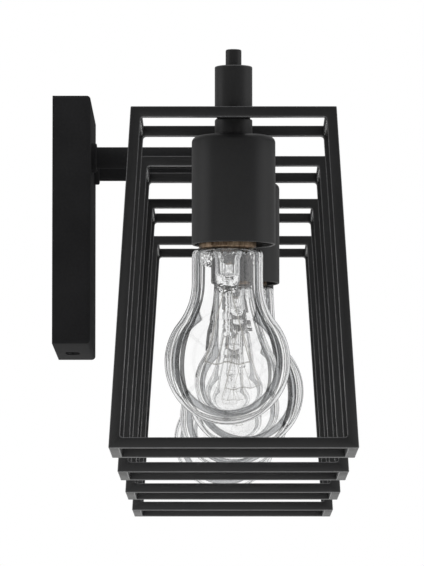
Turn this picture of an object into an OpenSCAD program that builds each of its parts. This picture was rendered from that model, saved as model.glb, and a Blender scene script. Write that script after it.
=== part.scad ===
// Vanity bar for four bulbs that hang in open cages of square rod.
// The origin is the middle of the canopy's back, on the wall. X runs along the wall, -Y into the
// room and Z up. Light 1 is at the -X end.

/* [Layout] */
// Number of lights along the main bar
lights = 4; // [2:2:4]
// Distance between neighbouring stems
light_pitch = 216; // [180:1:260]
// Distance from the wall to the axis of the stems and of the main bar
reach = 95; // [88:0.5:120]
// Height of the main bar's axis above the middle of the canopy
bar_rise = 35.5; // [30:0.5:42]

/* [Canopy] */
// Width of the canopy
canopy_w = 122; // [110:1:160]
// Height of the canopy
canopy_h = 131; // [126:1:170]
// Depth of the canopy, from the wall to its front face
canopy_d = 20; // [19.5:0.1:26]
// Wall of the pressed sheet
canopy_wall = 1.2; // [1:0.1:1.6]
// Outside radius of the pressed edges and corners
canopy_edge = 2; // [1.8:0.1:4]
// Length of the slot in the canopy's lower and upper side
slot_len = 20; // [14:0.5:26]
// Width of those slots
slot_w = 7.4; // [6:0.1:9]
// Sideways distance from the middle of the canopy to the middle of a slot
slot_shift = 11; // [8:0.5:14]
// Distance from the wall to the slots' centre line
slot_back = 8.9; // [8:0.1:10]

/* [Crossbar] */
// Width of the crossbar
crossbar_w = 40; // [36:1:60]
// Thickness of the crossbar's sheet
crossbar_t = 1.6; // [1.2:0.1:2]
// Depth of the crossbar's folded tabs, from the wall
tab_d = 15; // [14:0.5:17]
// Inside radius of the folds
fold_r = 0.8; // [0.5:0.1:1.5]
// Clearance between a tab and the canopy
tab_gap = 0.4; // [0.2:0.05:0.8]
// Smaller screw spacing that the box slots take
box_near = 69.85; // [66:0.05:72]
// Larger screw spacing that the box slots take
box_far = 88.9; // [84:0.05:92]
// Width of the box slots
box_slot_w = 4.5; // [4.2:0.1:5.5]

/* [Screws] */
// Diameter of the lock screws' thread
lock_d = 4; // [3:0.5:5]
// Length of the lock screws below their heads
lock_len = 7; // [5:0.5:10]
// Depth of a lock screw's head below the canopy's face
lock_sunk = 0.2; // [0.1:0.05:0.4]
// Diameter of the ground screw's thread
ground_d = 4; // [3.5:0.5:5]
// Diameter of the ground screw's head
ground_head_d = 8; // [7:0.5:10]
// Height of the ground screw's head
ground_head_h = 2.4; // [2:0.1:3.5]
// Distance of the ground screw below the middle of the crossbar
ground_drop = 20; // [16:1:24]

/* [Arms] */
// Distance between the two arms
arm_spacing = 62.5; // [56:0.5:80]
// Outside diameter of the arms
arm_d = 11.5; // [10.8:0.1:13]
// Bore of the arms
arm_bore = 7; // [6.8:0.1:7.6]
// Diameter of the threaded end inside the canopy
arm_thread_d = 10; // [9:0.1:10.5]
// Diameter of the collar that covers the hole in the canopy
arm_collar_d = 15.5; // [14:0.1:18]
// Thickness of that collar
arm_collar_t = 2.8; // [2:0.1:4]
// Width across the flats of the arm nuts
arm_nut_af = 14; // [13:0.5:16]
// Thickness of the arm nuts
arm_nut_t = 3.5; // [3:0.1:4]
// Depth to which the arm's end wraps round the main bar
saddle = 2; // [1:0.1:3]

/* [Main bar] */
// Outside diameter of the main bar
bar_d = 11.5; // [11:0.1:12.5]
// Bore of the main bar
bar_bore = 8.5; // [8.2:0.1:9.2]
// Length of the main bar past the outermost stems' axes
bar_overrun = 5; // [4:0.1:6]

/* [Stems] */
// Diameter of the couplings that hold the main bar
coupling_d = 18; // [17:0.1:22]
// Height of a coupling above the main bar's axis
coupling_up = 12; // [10:0.1:16]
// Length of a coupling below the main bar's axis
coupling_down = 11.7; // [10.5:0.1:16]
// Diameter of the finial pins
finial_d = 7.6; // [6:0.1:10]
// Height of the finial pins above the couplings
finial_h = 8.2; // [5:0.1:14]
// Diameter of the finials' threaded ends
finial_thread_d = 5; // [4:0.1:5.5]
// Length of the finials' threaded ends
finial_thread_l = 4; // [3:0.1:4.5]
// Diameter of the necks' collars
collar_d = 18; // [16:0.1:22]
// Height of the necks' collars
collar_h = 8.2; // [5:0.1:14]
// Diameter of the necks' threaded ends
neck_d = 10; // [9.6:0.1:10.4]
// Bore of the necks
neck_bore = 6.6; // [6.5:0.1:7]
// Length of a neck's lower threaded end
neck_low = 9; // [7:0.1:12]

/* [Cages] */
// Thickness of the square rod
rod = 5; // [4:0.1:7]
// Outside width of a cage at its top, across the bar
cage_top_w = 97; // [80:0.5:120]
// Outside width of a cage at its bottom
cage_bottom_w = 117.5; // [90:0.5:140]
// Height of a cage
cage_h = 161; // [150:0.5:200]
// Length of a cage along the bar
cage_l = 85.7; // [76:0.1:120]
// Width of the strap that carries the cage
strap_w = 16; // [13:0.5:18]
// Thickness of the strap
strap_t = 1.5; // [1:0.1:2.5]

/* [Lampholders] */
// Outside diameter of the cups
cup_d = 40; // [39:0.1:46]
// Height of the cups
cup_h = 52; // [51:0.5:60]
// Wall of the cups
cup_wall = 1.2; // [0.8:0.1:1.4]
// Radius of the cups' upper edge
cup_round = 3; // [2:0.1:4]
// Outside diameter of the porcelain lampholders
holder_d = 31; // [30.4:0.1:32]
// Distance of a lampholder's lower face above the cup's mouth
holder_recess = 3.5; // [2:0.1:6]
// Diameter of the boss that screws on to the neck
boss_d = 16; // [14:0.1:20]
// Height of that boss
boss_h = 8.6; // [7:0.1:10]
// Outside diameter of the copper screw shells
shell_d = 27.4; // [27.3:0.05:28]
// Thickness of the screw shells
shell_t = 0.3; // [0.2:0.05:0.4]
// Length of the screw shells
shell_l = 24; // [21:0.5:25]
// Width of the centre contacts
leaf_w = 5; // [4:0.1:7]

/* [Bulbs] */
// Distance of the bulb cap's rim below the cup's mouth
seat_drop = 1.7; // [0.5:0.1:3]
// Diameter over the crests of the bulb caps
cap_d = 26.1; // [25.8:0.05:26.3]
// Depth of the caps' thread
thread_depth = 0.6; // [0.4:0.05:0.8]
// Pitch of the caps' thread
thread_pitch = 3.63; // [3.5:0.01:3.7]
// Height of the caps, with the foot contact
cap_h = 26.5; // [26:0.1:28]
// Diameter of the foot contacts
foot_d = 9.6; // [8:0.1:11]
// Diameter of the glass neck
bulb_neck_d = 34; // [30:0.1:38]
// Diameter of the glass globe
globe_d = 60; // [50:0.5:65]
// Distance from the cup's mouth down to the middle of the globe
globe_drop = 55.8; // [50:0.1:65]
// Distance from the cup's mouth down to where the neck begins to widen
flare_drop = 18; // [10:0.1:20]
// Thickness of the glass
glass_t = 0.8; // [0.6:0.05:1.2]
// Diameter of the glass stem inside the bulbs
mount_d = 12; // [9:0.1:14]
// Width of the filament
filament_w = 21.6; // [16:0.1:30]

/* [Leads] */
// Outside diameter of the leads
lead_d = 2.2; // [1.8:0.1:2.3]
// Bend radius of the leads where they turn a corner
lead_bend = 3; // [2.5:0.1:3.5]
// Diameter of the wire nuts
nut_d = 10.5; // [9.8:0.1:10.8]
// Length of the wire nuts
nut_len = 22; // [18:0.5:26]
// Distance of the wire nuts from the middle of the canopy
nut_x = 9; // [7:0.1:11]
// Distance of the wire nuts' mouths below the main bar's axis
nut_drop = 23.5; // [20:0.5:28]

/* [Hidden] */
$fn = 64;
LIGHT_NODES = [
    "rails", "uprights", "corner_rods", "neck", "cup", "lampholder", "holder_contacts",
    "bulb_glass", "bulb_cap", "bulb_stem", "bulb_filament"
];

// Clearance of a thread, or of a shaft in its bore, on the radius
fit_gap = 0.05;
// Gap between a cage's strap and the coupling that it turns under
swivel_gap = 0.3;
// Distance that cutting shapes reach past what they cut
past = 1;

// Sideways place of light n
function light_x(n) = (n - (lights + 1) / 2) * light_pitch;

// Levels of the stems, from the main bar down
coupling_top = bar_rise + coupling_up;
coupling_bottom = bar_rise - coupling_down;
cage_top = coupling_bottom - swivel_gap;
cage_bottom = cage_top - cage_h;
collar_top = cage_top - strap_t;
cup_top = collar_top - collar_h;
cup_mouth = cup_top - cup_h;
neck_top = bar_rise - bar_d / 2 - 0.5;
neck_bottom = cup_top - neck_low;

// Levels of the lampholders and bulbs
holder_top = cup_top - cup_wall - boss_h;
holder_bottom = cup_mouth + holder_recess;
seat_z = cup_mouth - seat_drop;
foot_z = seat_z + cap_h;
leaf_gap = 0.3;
leaf_t = 0.4;
leaf_bow = 2.3;
socket_floor = foot_z + leaf_gap + leaf_t + leaf_bow;
shell_z = seat_z + 0.6;

// The photographed lights aren't quite in line. For lights 1 to 4: how far the cup sits off the
// stem towards the room, how far the lampholder does, and by how many degrees it leans that way.
CUP_SHIFT = [0, 3.9, 2.6, -1.6];
HOLDER_SHIFT = [-2.9, 1.6, 0.7, -4.5];
HOLDER_LEAN = [0, 2.7, 0, 0];
// Room for a lampholder to shift in its cup
holder_play = (cup_d - holder_d) / 2 - cup_wall - 0.2;
function cup_y(n) = -reach - CUP_SHIFT[n - 1];
function holder_y(n) =
    let (shift = HOLDER_SHIFT[n - 1] - CUP_SHIFT[n - 1])
    cup_y(n) - max(-holder_play, min(holder_play, shift));

// The frames' sides lean outwards by this much for each millimetre down
lean = (cage_bottom_w - cage_top_w) / 2 / cage_h;
// Thickness of a leaning rod, measured level
rod_level = rod * sqrt(1 + lean * lean);
function side_y(z) = cage_top_w / 2 + (cage_top - z) * lean;

crossbar_h = canopy_h - 2 * (canopy_wall + tab_gap);
arm_in = canopy_d - canopy_wall - arm_nut_t - 0.9;

// Colours
BLACK = [0.13, 0.13, 0.14];
ZINC = [0.72, 0.72, 0.70];
BRASS = [0.78, 0.62, 0.32];
COPPER = [0.72, 0.42, 0.24];
PORCELAIN = [0.90, 0.89, 0.86];
GLASS = [0.85, 0.90, 0.92, 0.35];

// Outline, extruded along X about x = 0. Its first axis is Y and its second is Z.
module along_x(length) {
    rotate([90, 0, 90]) linear_extrude(length, center = true) children();
}

// Outline, extruded from y = 0 towards the room. Its first axis is X and its second is Z.
module along_y(length) {
    rotate([90, 0, 0]) linear_extrude(length) children();
}

// Cylinder along Y from y = -from to y = -to
module bar_y(d, from, to) {
    translate([0, -from, 0]) rotate([90, 0, 0]) cylinder(d = d, h = to - from);
}

// Cylinder along X from x = from to x = to
module bar_x(d, from, to) {
    translate([from, 0, 0]) rotate([0, 90, 0]) cylinder(d = d, h = to - from);
}

// Turned bar along Z from z = 0, with a small chamfer at both ends
module turned(d, h, chamfer = 0.4) {
    rotate_extrude() polygon([
        [0, 0], [d / 2 - chamfer, 0], [d / 2, chamfer], [d / 2, h - chamfer],
        [d / 2 - chamfer, h], [0, h]
    ]);
}

// Rectangle of width w and depth d, from 0 to -d, with its two corners at -d rounded
module pressed_outline(w, d, r) {
    translate([-w / 2, r - d]) square([w, d - r]);
    translate([r - w / 2, -d]) square([w - 2 * r, d]);
    for (side = [-1, 1]) translate([side * (w / 2 - r), r - d]) circle(r);
}

// Rectangle with four rounded corners
module rounded_outline(w, h, r) {
    square([w - 2 * r, h], center = true);
    square([w, h - 2 * r], center = true);
    for (side = [-1, 1]) for (level = [-1, 1])
        translate([side * (w / 2 - r), level * (h / 2 - r)]) circle(r);
}

// Slot of length l and width w with round ends, along the first axis
module slot_outline(l, w) {
    square([l - w, w], center = true);
    for (side = [-1, 1]) translate([side * (l - w) / 2, 0]) circle(d = w);
}

// Block against the wall, whose edges and corners are rounded on the room's side
module pressed_block(w, h, d, r) {
    intersection() {
        linear_extrude(h, center = true) pressed_outline(w, d, r);
        along_x(w) rotate(-90) pressed_outline(h, d, r);
        along_y(d) rounded_outline(w, h, r);
    }
}

// Points on an ellipse from angle a to angle b, in n steps, without the first one
function arc(cx, cy, rx, ry, a, b, n) =
    [for (i = [1:n]) let (t = a + (b - a) * i / n) [cx + rx * cos(t), cy + ry * sin(t)]];
function turned_back(points) = [for (i = [len(points) - 1:-1:0]) points[i]];

// Canopy: one pressed sheet, open to the wall
module canopy() {
    inner_r = max(canopy_edge - canopy_wall, 0.3);
    color(BLACK) difference() {
        pressed_block(canopy_w, canopy_h, canopy_d, canopy_edge);
        translate([0, past, 0])
            pressed_block(
                canopy_w - 2 * canopy_wall, canopy_h - 2 * canopy_wall,
                canopy_d - canopy_wall + past, inner_r
            );
        for (side = [-1, 1])
            translate([side * arm_spacing / 2, 0, bar_rise])
                bar_y(arm_thread_d + 4 * fit_gap, canopy_d - canopy_wall - past, canopy_d + past);
        for (level = [-1, 1])
            translate([-level * slot_shift, -slot_back, level * (canopy_h - canopy_wall) / 2])
                linear_extrude(canopy_wall + 2 * past, center = true) slot_outline(slot_len, slot_w);
    }
}

// Crossbar: folded sheet that screws to the junction box and carries the canopy's lock screws
module crossbar() {
    inner_h = crossbar_h - 2 * crossbar_t;
    outer_r = fold_r + crossbar_t;
    slot_l = (box_far - box_near) / 2 + box_slot_w;
    color(ZINC) difference() {
        along_x(crossbar_w) difference() {
            rotate(90) translate([0, tab_d]) pressed_outline(crossbar_h, tab_d, outer_r);
            rotate(90) translate([0, tab_d + past])
                pressed_outline(inner_h, tab_d + past - crossbar_t, fold_r);
        }
        for (level = [-1, 1]) {
            translate([0, past, level * (box_near + box_far) / 4])
                along_y(crossbar_t + 2 * past) rotate(90) slot_outline(slot_l, box_slot_w);
            translate([-level * slot_shift, -slot_back, level * crossbar_h / 2])
                cylinder(d = lock_d + 2 * fit_gap, h = 4 * crossbar_t, center = true);
        }
        translate([-nut_x, 0, -ground_drop]) bar_y(ground_d + 2 * fit_gap, -past, crossbar_t + past);
    }
}

// Lock screws: their heads stand in the canopy's slots
module lock_screws() {
    head_h = canopy_h / 2 - lock_sunk - crossbar_h / 2;
    head_d = slot_w - 8 * fit_gap;
    drive_w = 0.9;
    color(BLACK) for (level = [-1, 1])
        translate([-level * slot_shift, -slot_back, level * crossbar_h / 2])
            rotate([level > 0 ? 0 : 180, 0, 0]) difference() {
                union() {
                    cylinder(d = head_d, h = head_h);
                    translate([0, 0, -lock_len]) cylinder(d = lock_d, h = lock_len + head_h / 2);
                }
                translate([-head_d, -drive_w / 2, head_h / 2]) cube([2 * head_d, drive_w, head_h]);
            }
}

// Ground screw on the crossbar
module ground_screw() {
    slot = 1;
    color([0.20, 0.45, 0.25]) translate([-nut_x, 0, -ground_drop]) difference() {
        union() {
            bar_y(ground_d, 0, crossbar_t + ground_head_h / 2);
            bar_y(ground_head_d, crossbar_t, crossbar_t + ground_head_h);
        }
        translate([-ground_head_d, -crossbar_t - ground_head_h - past, -slot / 2])
            cube([2 * ground_head_d, past + ground_head_h / 3, slot]);
    }
}

// Arm on one side: a tube from the canopy to the main bar, threaded inside the canopy
module arm(side) {
    shoulder = canopy_d;
    end = reach - bar_d / 2 + saddle;
    color(BLACK) translate([side * arm_spacing / 2, 0, bar_rise]) difference() {
        union() {
            bar_y(arm_d, shoulder, end);
            bar_y(arm_thread_d, arm_in, shoulder + past);
        }
        bar_y(arm_bore, arm_in - past, end + past);
        translate([0, -reach, 0]) bar_x(bar_d, -arm_d, arm_d);
    }
}

// Collars that cover the holes in the canopy's front
module arm_collars() {
    color(BLACK) for (side = [-1, 1])
        translate([side * arm_spacing / 2, -canopy_d, bar_rise]) rotate([90, 0, 0]) difference() {
            turned(arm_collar_d, arm_collar_t, 0.3);
            translate([0, 0, -past]) cylinder(d = arm_d + 2 * fit_gap, h = arm_collar_t + 2 * past);
        }
}

// Nuts that hold the arms inside the canopy
module arm_nuts() {
    inside = canopy_d - canopy_wall;
    color(ZINC) for (side = [-1, 1])
        translate([side * arm_spacing / 2, 0, bar_rise]) difference() {
            translate([0, arm_nut_t - inside, 0]) rotate([90, 0, 0])
                cylinder(d = arm_nut_af / cos(30), h = arm_nut_t, $fn = 6);
            bar_y(arm_thread_d + 2 * fit_gap, 0, canopy_d);
        }
}

// Main bar: one tube through all the couplings, with holes for the leads
module main_bar() {
    end = light_x(lights) + bar_overrun;
    color(BLACK) translate([0, -reach, bar_rise]) difference() {
        bar_x(bar_d, -end, end);
        bar_x(bar_bore, -end - past, end + past);
        for (side = [-1, 1])
            translate([side * arm_spacing / 2, 0, 0]) bar_y(arm_bore, -bar_d, 0);
        for (n = [1:lights])
            translate([light_x(n), 0, -bar_d]) cylinder(d = neck_bore, h = bar_d);
    }
}

// Couplings: the outermost ones are blind, so that the bar's ends don't show
module couplings() {
    seat_d = bar_d + 2 * fit_gap;
    color(BLACK) for (n = [1:lights]) translate([light_x(n), -reach, 0]) difference() {
        translate([0, 0, coupling_bottom]) turned(coupling_d, coupling_top - coupling_bottom);
        translate([0, 0, bar_rise]) bar_x(
            seat_d,
            n == 1 ? -bar_overrun : -coupling_d,
            n == lights ? bar_overrun : coupling_d
        );
        translate([0, 0, coupling_bottom - past])
            cylinder(d = neck_d + 2 * fit_gap, h = coupling_down + past);
        translate([0, 0, coupling_top - finial_thread_l])
            cylinder(d = finial_thread_d + 2 * fit_gap, h = finial_thread_l + past);
    }
}

// Finial pins on top of the couplings
module finials() {
    color(BLACK) for (n = [1:lights]) translate([light_x(n), -reach, coupling_top]) {
        turned(finial_d, finial_h, 0.3);
        translate([0, 0, -finial_thread_l]) cylinder(d = finial_thread_d, h = finial_thread_l + past);
    }
}

// Neck: the turned collar under the cage's strap, with a threaded end above and below. It turns in
// the coupling and carries the cage, the cup and the lampholder.
module neck(n) {
    color(BLACK) translate([light_x(n), -reach, 0]) difference() {
        union() {
            translate([0, 0, neck_bottom]) cylinder(d = neck_d, h = neck_top - neck_bottom);
            translate([0, 0, cup_top]) turned(collar_d, collar_h, 0.3);
        }
        translate([0, 0, neck_bottom - past])
            cylinder(d = neck_bore, h = neck_top - neck_bottom + 2 * past);
    }
}

// Rails across the cage, at the top and bottom of its two frames
module rails(n) {
    color(BLACK) for (side = [-1, 1]) for (z = [cage_top - rod, cage_bottom])
        translate([light_x(n) + side * (cage_l - rod) / 2, -reach, 0]) along_x(rod)
            polygon([
                [-side_y(z), z], [side_y(z), z],
                [side_y(z + rod), z + rod], [-side_y(z + rod), z + rod]
            ]);
}

// Section of a leaning rod between two levels, on one side
module rod_section(side, low, high) {
    polygon([
        [side * side_y(low), low], [side * side_y(high), high],
        [side * (side_y(high) - rod_level), high], [side * (side_y(low) - rod_level), low]
    ]);
}

// Leaning uprights of the two frames
module uprights(n) {
    color(BLACK) for (end = [-1, 1]) for (side = [-1, 1])
        translate([light_x(n) + end * (cage_l - rod) / 2, -reach, 0])
            along_x(rod) rod_section(side, cage_bottom + rod, cage_top - rod);
}

// Rods that join the two frames at their corners, and the strap that the neck carries
module corner_rods(n) {
    between = cage_l - 2 * rod;
    color(BLACK) translate([light_x(n), -reach, 0]) {
        for (side = [-1, 1]) {
            along_x(between) rod_section(side, cage_top - rod, cage_top);
            along_x(between) rod_section(side, cage_bottom, cage_bottom + rod);
        }
        difference() {
            translate([-between / 2, -strap_w / 2, collar_top]) cube([between, strap_w, strap_t]);
            translate([0, 0, collar_top - past])
                cylinder(d = neck_d + 2 * fit_gap, h = strap_t + 2 * past);
        }
    }
}

// Cylinder from z = 0 whose upper edge is rounded
module domed(d, h, r) {
    rotate_extrude() {
        square([d / 2, h - r]);
        square([d / 2 - r, h]);
        translate([d / 2 - r, h - r]) circle(r);
    }
}

// Cup: spun cover over the lampholder, with its hole where the neck passes
module cup(n) {
    color(BLACK) difference() {
        translate([light_x(n), cup_y(n), cup_mouth]) difference() {
            domed(cup_d, cup_h, cup_round);
            translate([0, 0, -past])
                domed(cup_d - 2 * cup_wall, cup_h - cup_wall + past, cup_round - cup_wall);
        }
        translate([light_x(n), -reach, cup_top - past - cup_wall])
            cylinder(d = neck_d + 2 * fit_gap, h = cup_wall + 2 * past);
    }
}

// What belongs to light n's socket, drawn about the Z axis: it shifts and leans as a whole
module in_socket(n) {
    translate([light_x(n), holder_y(n), holder_top]) rotate([-HOLDER_LEAN[n - 1], 0, 0])
        translate([0, 0, -holder_top]) children();
}

// Porcelain lampholder, screwed on to the neck's lower end
module lampholder(n) {
    color(PORCELAIN) difference() {
        union() {
            in_socket(n) translate([0, 0, holder_bottom])
                turned(holder_d, holder_top - holder_bottom, 1);
            translate([light_x(n), -reach, holder_top - past])
                cylinder(d = boss_d, h = boss_h + past);
        }
        in_socket(n) translate([0, 0, holder_bottom - past])
            cylinder(d = shell_d + 2 * fit_gap, h = socket_floor - holder_bottom + past);
        translate([light_x(n), -reach, 0]) {
            translate([0, 0, neck_bottom - fit_gap])
                cylinder(d = neck_d + 2 * fit_gap, h = neck_low + past);
            translate([0, 0, socket_floor - past])
                cylinder(d = neck_bore, h = neck_bottom - socket_floor + past);
        }
    }
}

// Screw shell and centre contact of a lampholder. The contact's foot lies away from the wires.
module holder_contacts(n) {
    lip = 5.4;
    away = holder_y(n) > -reach ? 1 : -1;
    color(COPPER) in_socket(n) {
        difference() {
            translate([0, 0, shell_z]) cylinder(d = shell_d, h = shell_l);
            translate([0, 0, shell_z - past])
                cylinder(d = shell_d - 2 * shell_t, h = shell_l - shell_t + past);
            translate([0, 0, shell_z]) cylinder(d = shell_d - 2 * lip, h = shell_l + past);
        }
        along_x(leaf_w) translate([0, socket_floor]) scale([away, 1]) polygon([
            [7, 0], [4, 0], [-1, -leaf_bow], [-3, -leaf_bow], [-3, -leaf_bow - leaf_t],
            [-0.8, -leaf_bow - leaf_t], [4.2, -leaf_t], [7, -leaf_t]
        ]);
    }
}

// The bulbs' glass: neck, fillet and globe, set in by o for the inside
neck_r = bulb_neck_d / 2;
globe_r = globe_d / 2;
globe_z = cup_mouth - globe_drop;
flare_z = cup_mouth - flare_drop;
flare_rise = flare_z - globe_z;
flare_r = (flare_rise * flare_rise + neck_r * neck_r - globe_r * globe_r) / (2 * (globe_r - neck_r));
flare_angle = atan(flare_rise / (neck_r + flare_r));
cap_wall = 0.5;
sleeve_r = cap_d / 2 - thread_depth - cap_wall;
sleeve_l = 8;
shoulder_r = cap_d / 2;
shoulder_h = 3;
function glass_outline(o) = concat(
    [[sleeve_r - fit_gap - o, seat_z + sleeve_l], [sleeve_r - fit_gap - o, seat_z - o],
     [shoulder_r, seat_z - o]],
    arc(shoulder_r, seat_z - shoulder_h, neck_r - shoulder_r - o, shoulder_h - o, 90, 0, 8),
    [[neck_r - o, flare_z]],
    arc(neck_r + flare_r, flare_z, flare_r + o, flare_r + o, 180, 180 + flare_angle, 10),
    arc(0, globe_z, globe_r - o, globe_r - o, flare_angle, -90, 24)
);

module bulb_glass(n) {
    color(GLASS) in_socket(n) rotate_extrude()
        polygon(concat(glass_outline(0), turned_back(glass_outline(glass_t))));
}

// Bulb cap with its rolled thread, insulator and foot contact
module bulb_cap(n) {
    crest = cap_d / 2;
    skirt = 4.4;
    turns = 4;
    thread_top = skirt + turns * thread_pitch;
    steps = 6 * turns;
    foot_h = 2;
    color(BRASS) in_socket(n) translate([0, 0, seat_z]) rotate_extrude() polygon(concat(
        [[sleeve_r, 0], [crest, 0], [crest, skirt]],
        [for (i = [1:steps]) [
            crest - thread_depth * (1 - cos(360 * i * turns / steps)) / 2,
            skirt + (thread_top - skirt) * i / steps
        ]],
        [[crest - 1, thread_top + 0.6], [foot_d / 2 + 0.6, cap_h - foot_h],
         [foot_d / 2, cap_h - foot_h], [foot_d / 2, cap_h - 0.6], [foot_d / 2 - 1, cap_h],
         [0, cap_h], [0, cap_h - foot_h - 1], [foot_d / 2 - 0.4, cap_h - foot_h - 1],
         [sleeve_r, thread_top - cap_wall]]
    ));
}

// Glass stem inside a bulb, from the flare in the neck to the button that holds the supports
press_r = 3;
press_z = cup_mouth - 23;
button_r = 2.2;
button_h = 2;
button_z = globe_z + 12;
module bulb_stem(n) {
    rim_r = sleeve_r - fit_gap - glass_t - fit_gap;
    tube_r = mount_d / 2;
    tube_wall = 0.9;
    flare_low = seat_z - 5;
    rod_r = 1.2;
    color(GLASS) in_socket(n) rotate_extrude() polygon([
        [rim_r - tube_wall, seat_z + sleeve_l], [rim_r, seat_z + sleeve_l],
        [rim_r, seat_z + sleeve_l - 1], [tube_r, flare_low],
        [tube_r, press_z + 6], [press_r, press_z], [rod_r, press_z],
        [rod_r, button_z + button_h], [button_r, button_z + button_h], [button_r, button_z],
        [0, button_z], [0, press_z + 7], [tube_r - tube_wall, press_z + 8],
        [tube_r - tube_wall, flare_low]
    ]);
}

// Lead-in wires, supports and filament of a bulb
module bulb_filament(n) {
    lead_in = 0.9;
    support = 0.6;
    coil = 1;
    half = filament_w / 2;
    sag = 1.2;
    spread = 1.4;
    clear = 0.2;
    color(BRASS) in_socket(n) translate([0, 0, globe_z]) {
        for (side = [-1, 1])
            swept(
                [[0, side * press_r / 2, press_z - globe_z - clear], [0, side * half, 0]],
                lead_in, [1, 0, 0], 6
            );
        for (i = [-1:1])
            swept(
                [[0, i * spread, button_z - globe_z - clear], [0, i * half / 2, i == 0 ? 0 : -sag]],
                support, [1, 0, 0], 6
            );
        swept(
            [for (i = [-8:8]) [0, half * i / 8, -sag * pow(sin(90 * i / 4), 2)]],
            coil, [1, 0, 0], 6
        );
    }
}

// Leads: each light has two, which run from its lampholder through the neck, the main bar and the
// nearer arm to the wire nuts. In a tube they lie on the corners of a square.
lead_grid = 1.4;
front_nut_y = -(canopy_d - canopy_wall - nut_d / 2 - 0.75);
back_nut_y = -(crossbar_t + nut_d / 2 + 0.35);
nut_mouth = bar_rise - nut_drop;
nut_bore_l = 9;
lead_end_gap = 0.3;
front_swing = 6.6;
back_swing = 15.5;
swing_spread = 1.8;
near_fall = 15;
far_fall = 9;

// Quarter turn at corner p, from direction a to direction b
function corner(p, a, b) =
    let (c = p - lead_bend * a + lead_bend * b)
    [for (t = [0:22.5:90]) c + lead_bend * (sin(t) * a - cos(t) * b)];
// Smooth run in the canopy, from the arm's end to the nut
function drop(p, q, swing, fall) =
    let (a = p + [0, swing, 0], b = q + [0, 0, fall])
    [for (i = [0:12]) let (t = i / 12, u = 1 - t)
        u * u * u * p + 3 * u * u * t * a + 3 * u * t * t * b + t * t * t * q];
function lead_path(n, pole) =
    let (
        side = light_x(n) < 0 ? -1 : 1,
        a = (n == 1 || n == lights ? 1 : -1) * lead_grid,
        b = -pole * lead_grid,
        y = -reach + a,
        z = bar_rise + b,
        neck_x = light_x(n) + side * b,
        arm_x = side * (arm_spacing / 2 + a),
        nut_y = pole > 0 ? front_nut_y : back_nut_y,
        nut_end = [side * lead_grid - pole * nut_x, nut_y + a, nut_mouth],
        swing = (pole > 0 ? front_swing : back_swing) + swing_spread * a,
        fall = side == -pole ? near_fall : far_fall
    )
    concat(
        [[neck_x, y, socket_floor + lead_end_gap]],
        corner([neck_x, y, z], [0, 0, 1], [-side, 0, 0]),
        corner([arm_x, y, z], [-side, 0, 0], [0, 1, 0]),
        drop([arm_x, -arm_in, z], nut_end, swing, fall),
        [nut_end - [0, 0, nut_bore_l - lead_end_gap]]
    );

function unit(v) = v / norm(v);
// Directions of the path at its points
function headings(p) = [for (i = [0:len(p) - 1])
    unit(p[min(i + 1, len(p) - 1)] - p[max(i - 1, 0)])];
// One side direction for each point, carried along without a twist
function carried(dirs, i, side) = i == len(dirs) ? [] :
    let (s = unit(side - (side * dirs[i]) * dirs[i])) concat([s], carried(dirs, i + 1, s));
// Closed wire of diameter d along a path, whose section starts from the direction side
module swept(path, d, side = [0, 1, 0], sides = 8) {
    dirs = headings(path);
    across = carried(dirs, 0, side);
    rings = len(path);
    points = [for (i = [0:rings - 1]) for (k = [0:sides - 1])
        let (t = 360 * k / sides)
        path[i] + d / 2 * (cos(t) * across[i] + sin(t) * cross(dirs[i], across[i]))];
    walls = [for (i = [0:rings - 2]) for (k = [0:sides - 1])
        let (a = i * sides + k, b = i * sides + (k + 1) % sides)
        each [[a, a + sides, b], [b, a + sides, b + sides]]];
    caps = [for (k = [1:sides - 2])
        each [[0, k, k + 1], [(rings - 1) * sides, (rings - 1) * sides + k + 1, (rings - 1) * sides + k]]];
    polyhedron(points, concat(walls, caps));
}

module leads() {
    color([0.85, 0.84, 0.80]) for (n = [1:lights]) for (pole = [-1, 1])
        swept(lead_path(n, pole), lead_d);
}

// Wire nuts: the front one joins one pole of all the lights, and the back one the other pole
module wire_nuts() {
    bore = 2 * (lead_grid * sqrt(2) + lead_d / 2) + 2 * lead_end_gap;
    tip_d = nut_d - 3.5;
    color([0.80, 0.35, 0.12]) for (pole = [-1, 1])
        translate([-pole * nut_x, pole > 0 ? front_nut_y : back_nut_y, nut_mouth]) rotate_extrude()
            polygon([
                [bore / 2, 0], [nut_d / 2, 0], [nut_d / 2, -5], [tip_d / 2, 1 - nut_len],
                [tip_d / 2 - 1, -nut_len], [0, -nut_len], [0, -nut_bore_l], [bore / 2, -nut_bore_l]
            ]);
}

canopy();
crossbar();
lock_screws();
ground_screw();
wire_nuts();
leads();
arm(-1);  // arm_left
arm(1);  // arm_right
arm_collars();
arm_nuts();
main_bar();
couplings();
finials();
for (n = [1:lights]) {
    rails(n);
    uprights(n);
    corner_rods(n);
    neck(n);
    cup(n);
    lampholder(n);
    holder_contacts(n);
    bulb_glass(n);
    bulb_cap(n);
    bulb_stem(n);
    bulb_filament(n);
}
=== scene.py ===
"""Vanity light: a black wall bar whose clear bulbs hang, cap up, in open cages of square rod.

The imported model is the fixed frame. Sizes in the classes are millimetres, and every mesh ends up in
metres in the same frame: X along the wall, -Y into the room, Z up.
"""

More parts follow.
